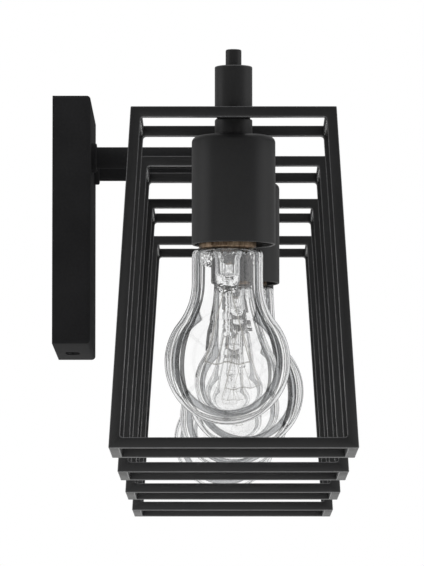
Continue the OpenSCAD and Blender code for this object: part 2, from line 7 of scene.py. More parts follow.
from __future__ import annotations
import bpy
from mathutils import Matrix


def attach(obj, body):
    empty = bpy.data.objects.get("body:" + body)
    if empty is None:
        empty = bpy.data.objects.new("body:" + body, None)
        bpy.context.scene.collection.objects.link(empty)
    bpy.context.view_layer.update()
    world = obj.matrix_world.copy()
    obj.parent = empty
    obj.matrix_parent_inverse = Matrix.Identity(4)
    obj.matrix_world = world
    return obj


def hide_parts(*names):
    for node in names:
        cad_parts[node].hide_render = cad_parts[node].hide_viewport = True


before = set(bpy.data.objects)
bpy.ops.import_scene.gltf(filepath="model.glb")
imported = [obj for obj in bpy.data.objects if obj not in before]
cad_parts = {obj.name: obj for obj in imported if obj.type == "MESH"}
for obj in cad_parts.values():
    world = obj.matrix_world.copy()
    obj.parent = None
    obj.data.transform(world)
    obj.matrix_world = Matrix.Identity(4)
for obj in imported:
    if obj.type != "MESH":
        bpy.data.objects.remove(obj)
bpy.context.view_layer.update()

import logging
import math
from collections.abc import Callable, Sequence
from dataclasses import dataclass
from enum import Enum

import bmesh
import bpy
from mathutils import Matrix, Vector

logging.basicConfig(level=logging.INFO, format="%(message)s")
LOG = logging.getLogger("vanity_light")

MM = 0.001
LIGHTS = (1, 2, 3, 4)
TURN_STEPS = 96
# Faces that meet at more than SHARP degrees are rounded, and at more than CREASE shaded apart.
SHARP = 30.0
CREASE = 32.0
# Gap between two pieces that fit into each other.
FIT = 0.05
# Inputs of a Map Range node, and the span that holds nearly all values of a noise.
RANGE = ("Value", "From Min", "From Max", "To Min", "To Max")
NOISE_SPAN = (0.35, 0.65)

Point = tuple[float, float, float]
Colour = tuple[float, float, float, float]


def linear(code: str) -> Colour:
    """Turns an sRGB hex colour into linear values.

    Args:
        code: The colour as "#rrggbb".

    Returns:
        Linear red, green and blue, and an alpha of 1.
    """
    parts = [int(code[i : i + 2], 16) / 255 for i in (1, 3, 5)]
    red, green, blue = (
        p / 12.92 if p <= 0.04045 else ((p + 0.055) / 1.055) ** 2.4 for p in parts
    )
    return (red, green, blue, 1.0)


def add_node(
    tree: bpy.types.NodeTree,
    kind: str,
    inputs: dict[str | int, object] | None = None,
    **settings: object,
) -> bpy.types.Node:
    """Adds one node with its settings, its fixed inputs and its links.

    Args:
        tree: The node tree that gets the node.
        kind: The node's type, such as "ShaderNodeTexNoise".
        inputs: For each input a value, or what feeds it: a socket, or a node's first output.
        settings: Properties of the node by name.

    Returns:
        The new node.
    """
    node = tree.nodes.new(kind)
    for name, value in settings.items():
        setattr(node, name, value)
    for name, value in (inputs or {}).items():
        source = value.outputs[0] if isinstance(value, bpy.types.Node) else value
        if isinstance(source, bpy.types.NodeSocket):
            tree.links.new(source, node.inputs[name])
        else:
            node.inputs[name].default_value = source
    return node


def new_tree(name: str) -> tuple[bpy.types.Material, bpy.types.NodeTree]:
    """Makes an empty node material.

    Args:
        name: The material's name.

    Returns:
        The material and its cleared node tree.
    """
    material = bpy.data.materials.new(name)
    material.use_nodes = True
    material.node_tree.nodes.clear()
    return material, material.node_tree


@dataclass(frozen=True)
class Grained:
    """A finish whose colour, roughness and height follow two noises of real size.

    Attributes:
        name: What the material is.
        low: Colour in the noise's valleys.
        high: Colour on its peaks.
        rough: Lowest and highest roughness.
        grain: Size of the fine texture in millimetres.
        cloud: Size of the broad mottling in millimetres.
        relief: Height of the fine texture in millimetres.
        stretch: How far the texture is drawn out along X, Y and Z.
        metallic: 1 for bare metal.
        specular: Specular level of the surface.
        coat: Weight of a clear top layer.
        mottled: Share of the broad mottling in the colour.
    """

    name: str
    low: str
    high: str
    rough: tuple[float, float]
    grain: float
    cloud: float
    relief: float
    stretch: Point = (1.0, 1.0, 1.0)
    metallic: float = 0.0
    specular: float = 0.5
    coat: float = 0.0
    mottled: float = 0.6

    def material(self) -> bpy.types.Material:
        """Builds the node material.

        Returns:
            The finished material.
        """
        material, tree = new_tree(self.name)
        where = add_node(tree, "ShaderNodeTexCoord").outputs["Object"]
        drawn = add_node(tree, "ShaderNodeMapping", {"Vector": where, "Scale": self.stretch})
        fine, broad = (
            add_node(
                tree,
                "ShaderNodeTexNoise",
                {"Vector": drawn, "Scale": 1 / (size * MM), "Detail": detail, "Roughness": gain},
            )
            for size, detail, gain in ((self.grain, 2.0, 0.55), (self.cloud, 3.0, 0.5))
        )
        blend = add_node(
            tree, "ShaderNodeMix", {0: self.mottled, 2: fine, 3: broad}, data_type="FLOAT"
        )
        colour = add_node(tree, "ShaderNodeValToRGB", {"Fac": blend})
        stops = zip(colour.color_ramp.elements, NOISE_SPAN, (self.low, self.high))
        for stop, share, code in stops:
            stop.position, stop.color = share, linear(code)
        rough = add_node(
            tree, "ShaderNodeMapRange", dict(zip(RANGE, (blend, *NOISE_SPAN, *self.rough)))
        )
        height = add_node(
            tree, "ShaderNodeBump", {"Height": fine, "Distance": self.relief * MM, "Strength": 1.0}
        )
        looks = {
            "Base Color": colour,
            "Roughness": rough,
            "Normal": height,
            "Metallic": self.metallic,
            "Specular IOR Level": self.specular,
            "Coat Weight": self.coat,
        }
        surface = add_node(tree, "ShaderNodeBsdfPrincipled", looks)
        add_node(tree, "ShaderNodeOutputMaterial", {"Surface": surface})
        return material


@dataclass(frozen=True)
class ClearGlass:
    """Clear glass with painted shade and reflection along a bulb's outline.

    The grey lines that follow the outline are painted as a tint of what passes through, which
    depends on the angle of sight to the surface.

    Attributes:
        name: What the material is.
        bands: Painted shade and reflection, as a tint by 1 minus the cosine of that angle, from
            face-on to edge-on.
        wave: Size of the wall's unevenness in millimetres.
        relief: Its height in millimetres.
        seal: Heights at which it begins to be crinkled and is fully so, where it was melted.
        crease: Depth of the crinkles in millimetres.
        crinkle: Distance between them in millimetres.
    """

    name: str
    bands: tuple[tuple[float, str], ...]
    wave: float
    relief: float
    seal: tuple[float, float] = (1.0, 2.0)
    crease: float = 0.16
    crinkle: float = 2.0

    def material(self) -> bpy.types.Material:
        """Builds the node material.

        Returns:
            The finished material.
        """
        material, tree = new_tree(self.name)
        where = add_node(tree, "ShaderNodeTexCoord").outputs["Object"]
        wave, crinkle = (
            add_node(
                tree,
                "ShaderNodeTexNoise",
                {"Vector": where, "Scale": 1 / (size * MM), "Detail": detail},
            )
            for size, detail in ((self.wave, 0.0), (self.crinkle, 1.0))
        )
        level = add_node(tree, "ShaderNodeSeparateXYZ", {"Vector": where}).outputs["Z"]
        seal = (self.seal[0] * MM, self.seal[1] * MM)
        melted = add_node(
            tree,
            "ShaderNodeMapRange",
            dict(zip(RANGE, (level, *seal, 0.0, self.crease / self.relief))),
        )
        uneven = add_node(
            tree, "ShaderNodeMath", {0: crinkle, 1: melted, 2: wave}, operation="MULTIPLY_ADD"
        )
        height = add_node(
            tree,
            "ShaderNodeBump",
            {"Height": uneven, "Distance": self.relief * MM, "Strength": 1.0},
        )
        slant = add_node(tree, "ShaderNodeLayerWeight", {"Blend": 0.5}).outputs["Facing"]
        inside = add_node(tree, "ShaderNodeNewGeometry").outputs["Backfacing"]
        # The painted shade is taken once, on the way in, so that each painted band shows as one line.
        entered = add_node(
            tree, "ShaderNodeMath", {0: slant, 1: inside}, operation="SUBTRACT", use_clamp=True
        )
        # Painted shade and reflection: this ramp darkens what passes through by the angle of sight,
        # not by the wall's depth.
        depth = add_node(tree, "ShaderNodeValToRGB", {"Fac": entered})
        stops = depth.color_ramp.elements
        while len(stops) < len(self.bands):
            stops.new(1.0)
        for stop, (share, code) in zip(stops, self.bands):
            stop.position, stop.color = share, linear(code)
        looks = {
            "Base Color": depth,
            "Roughness": 0.0,
            "IOR": 1.5,
            "Transmission Weight": 1.0,
            "Normal": height,
        }
        surface = add_node(tree, "ShaderNodeBsdfPrincipled", looks)
        add_node(tree, "ShaderNodeOutputMaterial", {"Surface": surface})
        return material


class Finish(Enum):
    """The finishes of the light, each by what it really is, and where noted with painted light or
    shade.
    """

    # Epoxy-polyester powder, baked on steel: near black, satin, with a fine orange peel that is
    # drawn at 1.2 mm so that it shows.
    POWDER_COAT = Grained(
        "black_powder_coat", "#1a1a1b", "#202021", (0.36, 0.44), 1.2, 30, 0.006
    )
    # The same coat over a rounded edge: paler and smoother where it drew thin and was worn by
    # handling, and paler still as a painted highlight along the edge.
    COAT_EDGE_WEAR_AND_HIGHLIGHT = Grained(
        "black_powder_coat_edge_wear_and_highlight", "#464648", "#5e5e5f", (0.18, 0.28), 1.2, 9, 0.003
    )
    # A shaded copy of the coat for the canopy and its arms: its gloss is cut, so that it doesn't
    # mirror at a low angle and renders darker, as painted shade.
    COAT_SHADED_COPY = Grained(
        "black_powder_coat_shaded_copy", "#222223", "#29292a", (0.62, 0.7), 1.2, 30, 0.01, specular=0.03
    )
    # Black oxide under oil, as on the lock screws: a dark matt film.
    BLACK_OXIDE = Grained(
        "black_oxide_steel", "#0c0c0d", "#161617", (0.7, 0.8), 0.8, 5, 0.004, specular=0.02
    )
    # Zinc on folded steel sheet: pale grey with a faint bluish bloom and rolling marks along X.
    ZINC = Grained(
        "zinc_plated_steel", "#9c9fa2", "#c3c5c4", (0.28, 0.42), 0.8, 12, 0.004, (0.15, 1, 1), 1.0
    )
    # Green dye over zinc, as on every earth screw.
    GREEN_DYE = Grained(
        "green_dyed_zinc", "#1f5a32", "#2f7a48", (0.3, 0.4), 0.8, 6, 0.004, metallic=0.7
    )
    # Moulded polypropylene: slightly waxy, with a spark-eroded grain.
    ORANGE_PLASTIC = Grained(
        "moulded_polypropylene", "#b9501d", "#cb6026", (0.42, 0.5), 0.6, 8, 0.01
    )
    # Extruded PVC sleeving: smooth, faintly streaked.
    BLACK_PVC = Grained("black_pvc", "#161617", "#202022", (0.35, 0.42), 0.8, 9, 0.003)
    WHITE_PVC = Grained("white_pvc", "#cfccc2", "#dedbd2", (0.35, 0.42), 0.8, 9, 0.003)
    # Glazed electrical porcelain: off-white under a clear glaze.
    PORCELAIN = Grained(
        "glazed_porcelain", "#d9d6cd", "#e6e3db", (0.16, 0.24), 2.5, 14, 0.01, coat=0.6
    )
    # Drawn copper, blotched brown by air, with its marks along the draw.
    COPPER = Grained(
        "drawn_copper", "#43240f", "#c9b095", (0.3, 0.45), 0.7, 3, 0.004, (1, 1, 0.2), 1.0
    )
    # Black cast glass round the foot contact.
    BLACK_GLASS = Grained("black_cast_glass", "#101012", "#19191b", (0.08, 0.16), 1.5, 6, 0.01)
    # A drop of soft solder: dull tin grey.
    SOLDER = Grained(
        "soft_solder", "#8d8f90", "#b2b3b2", (0.3, 0.5), 0.7, 3, 0.01, metallic=1.0
    )
    # Drawn tungsten and nickel wire: grey.
    WIRE = Grained("drawn_wire", "#a8a5a0", "#d0cdc8", (0.3, 0.4), 0.5, 5, 0.002, metallic=1.0)
    # Soda-lime glass, blown into a mould: clear and colourless, with painted shade and reflection as
    # grey lines along its outline.
    BULB_GLASS = ClearGlass(
        "blown_bulb_glass",
        (
            (0.0, "#ffffff"),
            (0.35, "#ffffff"),
            (0.37, "#242526"),
            (0.395, "#77797b"),
            (0.485, "#828486"),
            (0.515, "#242526"),
            (0.54, "#ffffff"),
            (0.64, "#ffffff"),
            (0.665, "#0e0f10"),
            (0.69, "#f4f5f6"),
            (0.93, "#f8f9fa"),
            (1.0, "#b8babc"),
        ),
        14,
        0.01,
    )
    # The inside of the same wall, crinkled at the top where it is sealed to the stem, with a faint
    # painted shade seen edge-on.
    BULB_INSIDE = ClearGlass(
        "bulb_glass_inside", ((0.0, "#ffffff"), (1.0, "#f4f5f5")), 14, 0.01, (-47.5, -44)
    )
    # Lead-free stem glass, drawn as tube and pinched while soft: wavy, with painted shade as dark
    # edges.
    STEM_GLASS = ClearGlass(
        "drawn_stem_glass",
        ((0.0, "#ffffff"), (0.35, "#f0f1f1"), (0.6, "#6f7173"), (1.0, "#2a2c2e")),
        3,
        0.05,
        (-52, -56),
        0.7,
    )


# Finish of the faces with material index 1, by the finish of the piece: on the black coat, its
# rounded edges get a painted highlight as well as wear.
EDGES = {Finish.POWDER_COAT: Finish.COAT_EDGE_WEAR_AND_HIGHLIGHT, Finish.BULB_GLASS: Finish.BULB_INSIDE}


class Paints:
    """Builds each finish once and hands it out."""

    def __init__(self) -> None:
        """Starts with no material made."""
        self.made: dict[Finish, bpy.types.Material] = {}

    def get(self, finish: Finish) -> bpy.types.Material:
        """Returns the material of a finish, and makes it the first time."""
        if finish not in self.made:
            self.made[finish] = finish.value.material()
        return self.made[finish]


PAINTS = Paints()


def scaled(bm: bmesh.types.BMesh, at: Matrix | Sequence[float]) -> None:
    """Moves a mesh in millimetres to its place and turns it into metres.

    Args:
        bm: The mesh, in millimetres.
        at: Where its origin goes, in millimetres, or its whole placing as a matrix.
    """
    placing = at if isinstance(at, Matrix) else Matrix.Translation(Vector(at))
    bmesh.ops.transform(bm, matrix=placing, verts=bm.verts[:])
    bmesh.ops.scale(bm, verts=bm.verts[:], vec=(MM, MM, MM))


def rounded(
    bm: bmesh.types.BMesh,
    edges: Sequence[bmesh.types.BMEdge],
    width: float,
    segments: int,
    clamp: bool = False,
) -> list[bmesh.types.BMFace]:
    """Rounds some edges of a mesh.

    Args:
        bm: The mesh.
        edges: The edges.
        width: Width of the rounding, in the mesh's unit.
        segments: Number of steps in it.
        clamp: Whether the width gives way where two roundings would overlap.

    Returns:
        The new faces.
    """
    return bmesh.ops.bevel(
        bm,
        geom=edges,
        offset=width,
        offset_type="OFFSET",
        segments=segments,
        profile=0.5,
        affect="EDGES",
        clamp_overlap=clamp,
        material=-1,
    )["faces"]


def bevelled(bm: bmesh.types.BMesh, width: float, segments: int = 2) -> None:
    """Rounds every sharp edge of a mesh.

    The new faces get material index 1, for pieces whose edges have a finish of their own, such as the
    black coat's worn edge with its painted highlight.

    Args:
        bm: The mesh.
        width: Width of the rounding, in the mesh's unit.
        segments: Number of steps in it.
    """
    least = math.radians(SHARP)
    edges = [e for e in bm.edges if len(e.link_faces) == 2 and e.calc_face_angle() > least]
    for face in rounded(bm, edges, width, segments, clamp=True):
        face.material_index = 1


def linked(name: str, data: bpy.types.ID) -> bpy.types.Object:
    """Adds an object to the scene.

    Args:
        name: Its name.
        data: Its mesh, curve, lamp or camera.

    Returns:
        The new object at the origin.
    """
    made = bpy.data.objects.new(name, data)
    bpy.context.scene.collection.objects.link(made)
    return made


def smoothed(mesh: bpy.types.Mesh, crease: float) -> None:
    """Shades a mesh smooth between the edges that are sharper than an angle in degrees."""
    mesh.shade_smooth()
    mesh.set_sharp_from_angle(angle=math.radians(crease))


def mesh_object(
    bm: bmesh.types.BMesh, name: str, finish: Finish | None, crease: float = CREASE
) -> bpy.types.Object:
    """Makes a scene object of a bmesh, shaded smooth between its sharp edges.

    Args:
        bm: The mesh in metres, which is freed.
        name: The object's name.
        finish: Its finish, or None for a cutting shape.
        crease: Angle above which an edge stays sharp, in degrees.

    Returns:
        The new object at the origin.
    """
    mesh = bpy.data.meshes.new(name)
    bm.to_mesh(mesh)
    bm.free()
    smoothed(mesh, crease)
    if finish is not None:
        mesh.materials.append(PAINTS.get(finish))
        # Rounded edges of the black coat get its paler edge finish: wear, and a painted highlight.
        if any(face.material_index == 1 for face in mesh.polygons):
            mesh.materials.append(PAINTS.get(EDGES.get(finish, finish)))
    return linked(name, mesh)


def applied(thing: bpy.types.Object, crease: float) -> bpy.types.Mesh:
    """Makes one mesh of a curve, or of a mesh and its modifiers.

    Args:
        thing: The object.
        crease: Angle above which an edge stays sharp, in degrees.

    Returns:
        The new mesh, shaded smooth.
    """
    bpy.context.view_layer.update()
    graph = bpy.context.evaluated_depsgraph_get()
    mesh = bpy.data.meshes.new_from_object(thing.evaluated_get(graph))
    smoothed(mesh, crease)
    return mesh


def cut(piece: bpy.types.Object, cutters: Sequence[bpy.types.Object]) -> None:
    """Cuts shapes out of a piece, with its modifiers applied, and throws them away.

    Args:
        piece: The piece that is cut.
        cutters: The shapes to take out of it.
    """
    for cutter in cutters:
        step = piece.modifiers.new(cutter.name, "BOOLEAN")
        step.operation, step.solver, step.object = "DIFFERENCE", "EXACT", cutter
    mesh = applied(piece, CREASE)
    piece.modifiers.clear()
    piece.data = mesh
    mesh.name = piece.name
    for cutter in cutters:
        bpy.data.objects.remove(cutter)


class Lathe:
    """Draws half a section in millimetres and turns it about an axis."""

    def __init__(self, r: float, z: float) -> None:
        """Starts the section.

        Args:
            r: Distance of the first point from the axis.
            z: Its height.
        """
        self.bm = bmesh.new()
        self.first = self.last = self.bm.verts.new((r, 0, z))

    def to(self, *points: tuple[float, float]) -> Lathe:
        """Draws straight lines.

        Args:
            points: Radius and height of each next point.

        Returns:
            This lathe.
        """
        for r, z in points:
            point = self.bm.verts.new((r, 0, z))
            self.bm.edges.new((self.last, point))
            self.last = point
        return self

    def arc(self, r: float, z: float, degrees: float, steps: int = 8) -> Lathe:
        """Draws an arc from the last point.

        Args:
            r: Radius at which the arc's centre lies.
            z: Height of the centre.
            degrees: How far it goes round, counter-clockwise in the section.
            steps: Number of segments.

        Returns:
            This lathe.
        """
        made = bmesh.ops.spin(
            self.bm,
            geom=[self.last],
            cent=(r, 0, z),
            axis=(0, -1, 0),
            dvec=(0, 0, 0),
            angle=math.radians(degrees),
            steps=steps,
            use_duplicate=False,
        )
        self.last = next(
            item for item in made["geom_last"] if isinstance(item, bmesh.types.BMVert)
        )
        return self

    def close(self) -> Lathe:
        """Joins the last point to the first one and returns this lathe."""
        self.bm.edges.new((self.last, self.first))
        return self

    def turn(self, steps: int = TURN_STEPS, edge: float = 0.0) -> bmesh.types.BMesh:
        """Turns the section about Z.

        Args:
            steps: Number of segments round the axis.
            edge: Width to which sharp edges are rounded, or 0.

        Returns:
            The closed mesh in millimetres.
        """
        bmesh.ops.spin(
            self.bm,
            geom=self.bm.verts[:] + self.bm.edges[:],
            cent=(0, 0, 0),
            axis=(0, 0, 1),
            dvec=(0, 0, 0),
            angle=math.tau,
            steps=steps,
            use_merge=True,
            use_duplicate=False,
        )
        bmesh.ops.remove_doubles(self.bm, verts=self.bm.verts[:], dist=1e-4)
        bmesh.ops.recalc_face_normals(self.bm, faces=self.bm.faces[:])
        if edge > 0:
            bevelled(self.bm, edge)
        return self.bm


def block(size: Sequence[float], centre: Sequence[float]) -> bmesh.types.BMesh:
    """Makes a box in millimetres.

    Args:
        size: Its size along X, Y and Z.
        centre: Its middle.

    Returns:
        The mesh in millimetres.
    """
    bm = bmesh.new()
    bmesh.ops.create_cube(bm, size=1)
    bmesh.ops.scale(bm, verts=bm.verts[:], vec=Vector(size))
    bmesh.ops.translate(bm, verts=bm.verts[:], vec=Vector(centre))
    return bm


def rod_cutter(
    radius: float, start: Sequence[float], end: Sequence[float]
) -> bpy.types.Object:
    """Makes a round cutting shape between two points.

    Args:
        radius: Radius in millimetres.
        start: One end in millimetres.
        end: The other end.

    Returns:
        The cutting object.
    """
    line = Vector(end) - Vector(start)
    bm = Lathe(0, 0).to((radius, 0), (radius, line.length), (0, line.length)).turn()
    turn = Vector((0, 0, 1)).rotation_difference(line).to_matrix()
    bmesh.ops.rotate(bm, verts=bm.verts[:], cent=(0, 0, 0), matrix=turn)
    scaled(bm, start)
    return mesh_object(bm, "cutter", None)


def laid(bm: bmesh.types.BMesh, axis: str) -> bmesh.types.BMesh:
    """Lays a mesh that was turned about Z along another axis.

    Args:
        bm: The mesh.
        axis: "X" for an axis along +X, "Y" for one along -Y.

    Returns:
        The same mesh.
    """
    turn = Matrix.Rotation(math.pi / 2, 3, {"X": "Y", "Y": "X"}[axis])
    bmesh.ops.rotate(bm, verts=bm.verts[:], cent=(0, 0, 0), matrix=turn)
    return bm


def shaped(
    bm: bmesh.types.BMesh, rule: Callable[[Vector], Vector]
) -> bmesh.types.BMesh:
    """Moves each vertex by a rule.

    Args:
        bm: The mesh.
        rule: Takes a vertex's place and returns the new one.

    Returns:
        The same mesh.
    """
    for vert in bm.verts:
        vert.co = rule(vert.co)
    return bm


def wire_object(
    name: str, runs: Sequence[Sequence[Sequence[float]]], radius: float, finish: Finish
) -> bpy.types.Object:
    """Makes round wires along paths, as one mesh.

    Args:
        name: The object's name.
        runs: Points of each wire in millimetres.
        radius: Radius of the wires.
        finish: Their finish.

    Returns:
        The new object.
    """
    curve = bpy.data.curves.new(name, "CURVE")
    curve.dimensions = "3D"
    curve.bevel_depth = radius * MM
    curve.bevel_resolution = 2
    curve.use_fill_caps = True
    for run in runs:
        spline = curve.splines.new("POLY")
        spline.points.add(len(run) - 1)
        for point, spot in zip(spline.points, run):
            point.co = (*(Vector(spot) * MM), 1)
    path = linked(name + "_path", curve)
    mesh = applied(path, crease=50)
    bpy.data.objects.remove(path)
    mesh.name = name
    mesh.materials.clear()
    mesh.materials.append(PAINTS.get(finish))
    return linked(name, mesh)


def place(piece: bpy.types.Object, body: str, slot: str, *nodes: str) -> None:
    """Ties a piece to its body and hides the CAD nodes it stands for.

    Args:
        piece: The finished piece.
        body: CAD body that it rides on.
        slot: Material slot of the record; not used.
        nodes: CAD nodes that it replaces.
    """
    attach(piece, body)
    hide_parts(*nodes)
    LOG.info("%s: %d faces, on %s", piece.name, len(piece.data.polygons), body)


def fixed(
    bm: bmesh.types.BMesh,
    at: Sequence[float],
    name: str,
    finish: Finish,
    slot: str,
    node: str,
    cutters: Sequence[bpy.types.Object] = (),
) -> None:
    """Makes a mesh a piece of the part that is fixed to the wall.

    Args:
        bm: The mesh in millimetres.
        at: Where its origin goes.
        name: Name of the piece.
        finish: Its finish.
        slot: Material slot of the record.
        node: CAD node that it replaces.
        cutters: Shapes to cut out of it.
    """
    scaled(bm, at)
    piece = mesh_object(bm, name, finish)
    if cutters:
        cut(piece, cutters)
    place(piece, "fixture", slot, node)


def repaint(node: str, finish: Finish) -> None:
    """Gives a CAD node that stays one of the finishes.

    Args:
        node: Name of the node.
        finish: Its finish.
    """
    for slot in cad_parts[node].material_slots:
        slot.material = PAINTS.get(finish)
    LOG.info("%s: CAD solid in %s", node, finish.name.lower())


@dataclass
class Layout:
    """Where the stems and sockets stand, shared by the parts that hang on them.

    The cups and sockets aren't quite in line: the shifts are how far they sit off their stem
    towards the room, and the lean is a socket's tilt that way in degrees.
    """

    pitch: float = 216.0
    reach: float = 95.0
    bar_z: float = 35.5
    arm_x: float = 31.25
    socket_top: float = 4.0
    cup_shift: tuple[float, ...] = (0.0, 3.9, 2.6, -1.6)
    socket_shift: tuple[float, ...] = (-2.9, 1.6, 0.7, -4.5)
    socket_lean: tuple[float, ...] = (0.0, 2.7, 0.0, 0.0)

    def stem(self, light: int) -> Vector:
        """Returns the place of a stem's axis at height 0."""
        return Vector(((light - (len(LIGHTS) + 1) / 2) * self.pitch, -self.reach, 0))

    def cup(self, light: int) -> Vector:
        """Returns the place of a cup's axis at height 0."""
        return self.stem(light) - Vector((0, self.cup_shift[light - 1], 0))

    def socket(self, light: int) -> Matrix:
        """Works out where a lampholder and its bulb sit.

        Args:
            light: Number of the light.

        Returns:
            The placing of what is drawn about the Z axis.
        """
        hang = self.stem(light) + Vector((0, -self.socket_shift[light - 1], self.socket_top))
        tilt = Matrix.Rotation(-math.radians(self.socket_lean[light - 1]), 4, "X")
        drop = Matrix.Translation((0, 0, -self.socket_top))
        return Matrix.Translation(hang) @ tilt @ drop

    def bore(self, light: int, radius: float, low: float, high: float) -> bpy.types.Object:
        """Makes the cutting shape of a hole along a stem's axis, between two heights."""
        at = self.stem(light)
        return rod_cutter(radius, (at.x, at.y, low), (at.x, at.y, high))


@dataclass
class Canopy:
    """The pressed box against the wall, with what is screwed inside it."""

    layout: Layout
    width: float = 122.0
    height: float = 131.0
    depth: float = 20.0
    wall: float = 1.2
    edge: float = 2.0
    hole: float = 10.2
    slot_len: float = 20.0
    slot_w: float = 7.4
    slot_shift: float = 11.0
    slot_back: float = 8.9
    cut_depth: float = 8.0

    def slot_cutter(self, level: int) -> bpy.types.Object:
        """Makes the shape that cuts the slot in the upper or lower side.

        Args:
            level: 1 for the upper side, -1 for the lower one.

        Returns:
            The cutting object.
        """
        bm = block((self.slot_len, self.slot_w, self.cut_depth), (0, 0, 0))
        upright = [e for e in bm.edges if abs(e.verts[0].co.z - e.verts[1].co.z) > 1]
        # A hair under half the width, so that the two roundings of an end don't quite meet.
        rounded(bm, upright, self.slot_w / 2 * 0.999, 12)
        scaled(bm, (-level * self.slot_shift, -self.slot_back, level * self.height / 2))
        return mesh_object(bm, "cutter", None)

    def shell(self) -> None:
        """Presses the box: rounded front and corners, open to the wall, with its holes."""
        bm = block((self.width, self.depth, self.height), (0, -self.depth / 2, 0))
        back = [face for face in bm.faces if face.normal.y > 0.5]
        bmesh.ops.delete(bm, geom=back, context="FACES")
        bevelled(bm, self.edge, segments=5)
        for face in bm.faces:
            face.material_index = 0
        scaled(bm, (0, 0, 0))
        # The canopy wears the shaded copy of the coat: its gloss is cut so that it renders darker, as
        # painted shade.
        piece = mesh_object(bm, "canopy_shell", Finish.COAT_SHADED_COPY)
        wall = piece.modifiers.new("sheet", "SOLIDIFY")
        wall.thickness, wall.offset, wall.use_even_offset = self.wall * MM, -1, True
        cutters = [self.slot_cutter(level) for level in (-1, 1)]
        for x in (-self.layout.arm_x, self.layout.arm_x):
            ends = ((x, y - self.depth, self.layout.bar_z) for y in (2, -2))
            cutters.append(rod_cutter(self.hole / 2, *ends))
        cut(piece, cutters)
        place(piece, "fixture", "black_metal", "canopy")

    def build(self) -> None:
        """Builds the shell and dresses the pieces inside it."""
        self.shell()
        repaint("crossbar", Finish.ZINC)
        repaint("arm_nuts", Finish.ZINC)
        repaint("lock_screws", Finish.BLACK_OXIDE)
        repaint("ground_screw", Finish.GREEN_DYE)


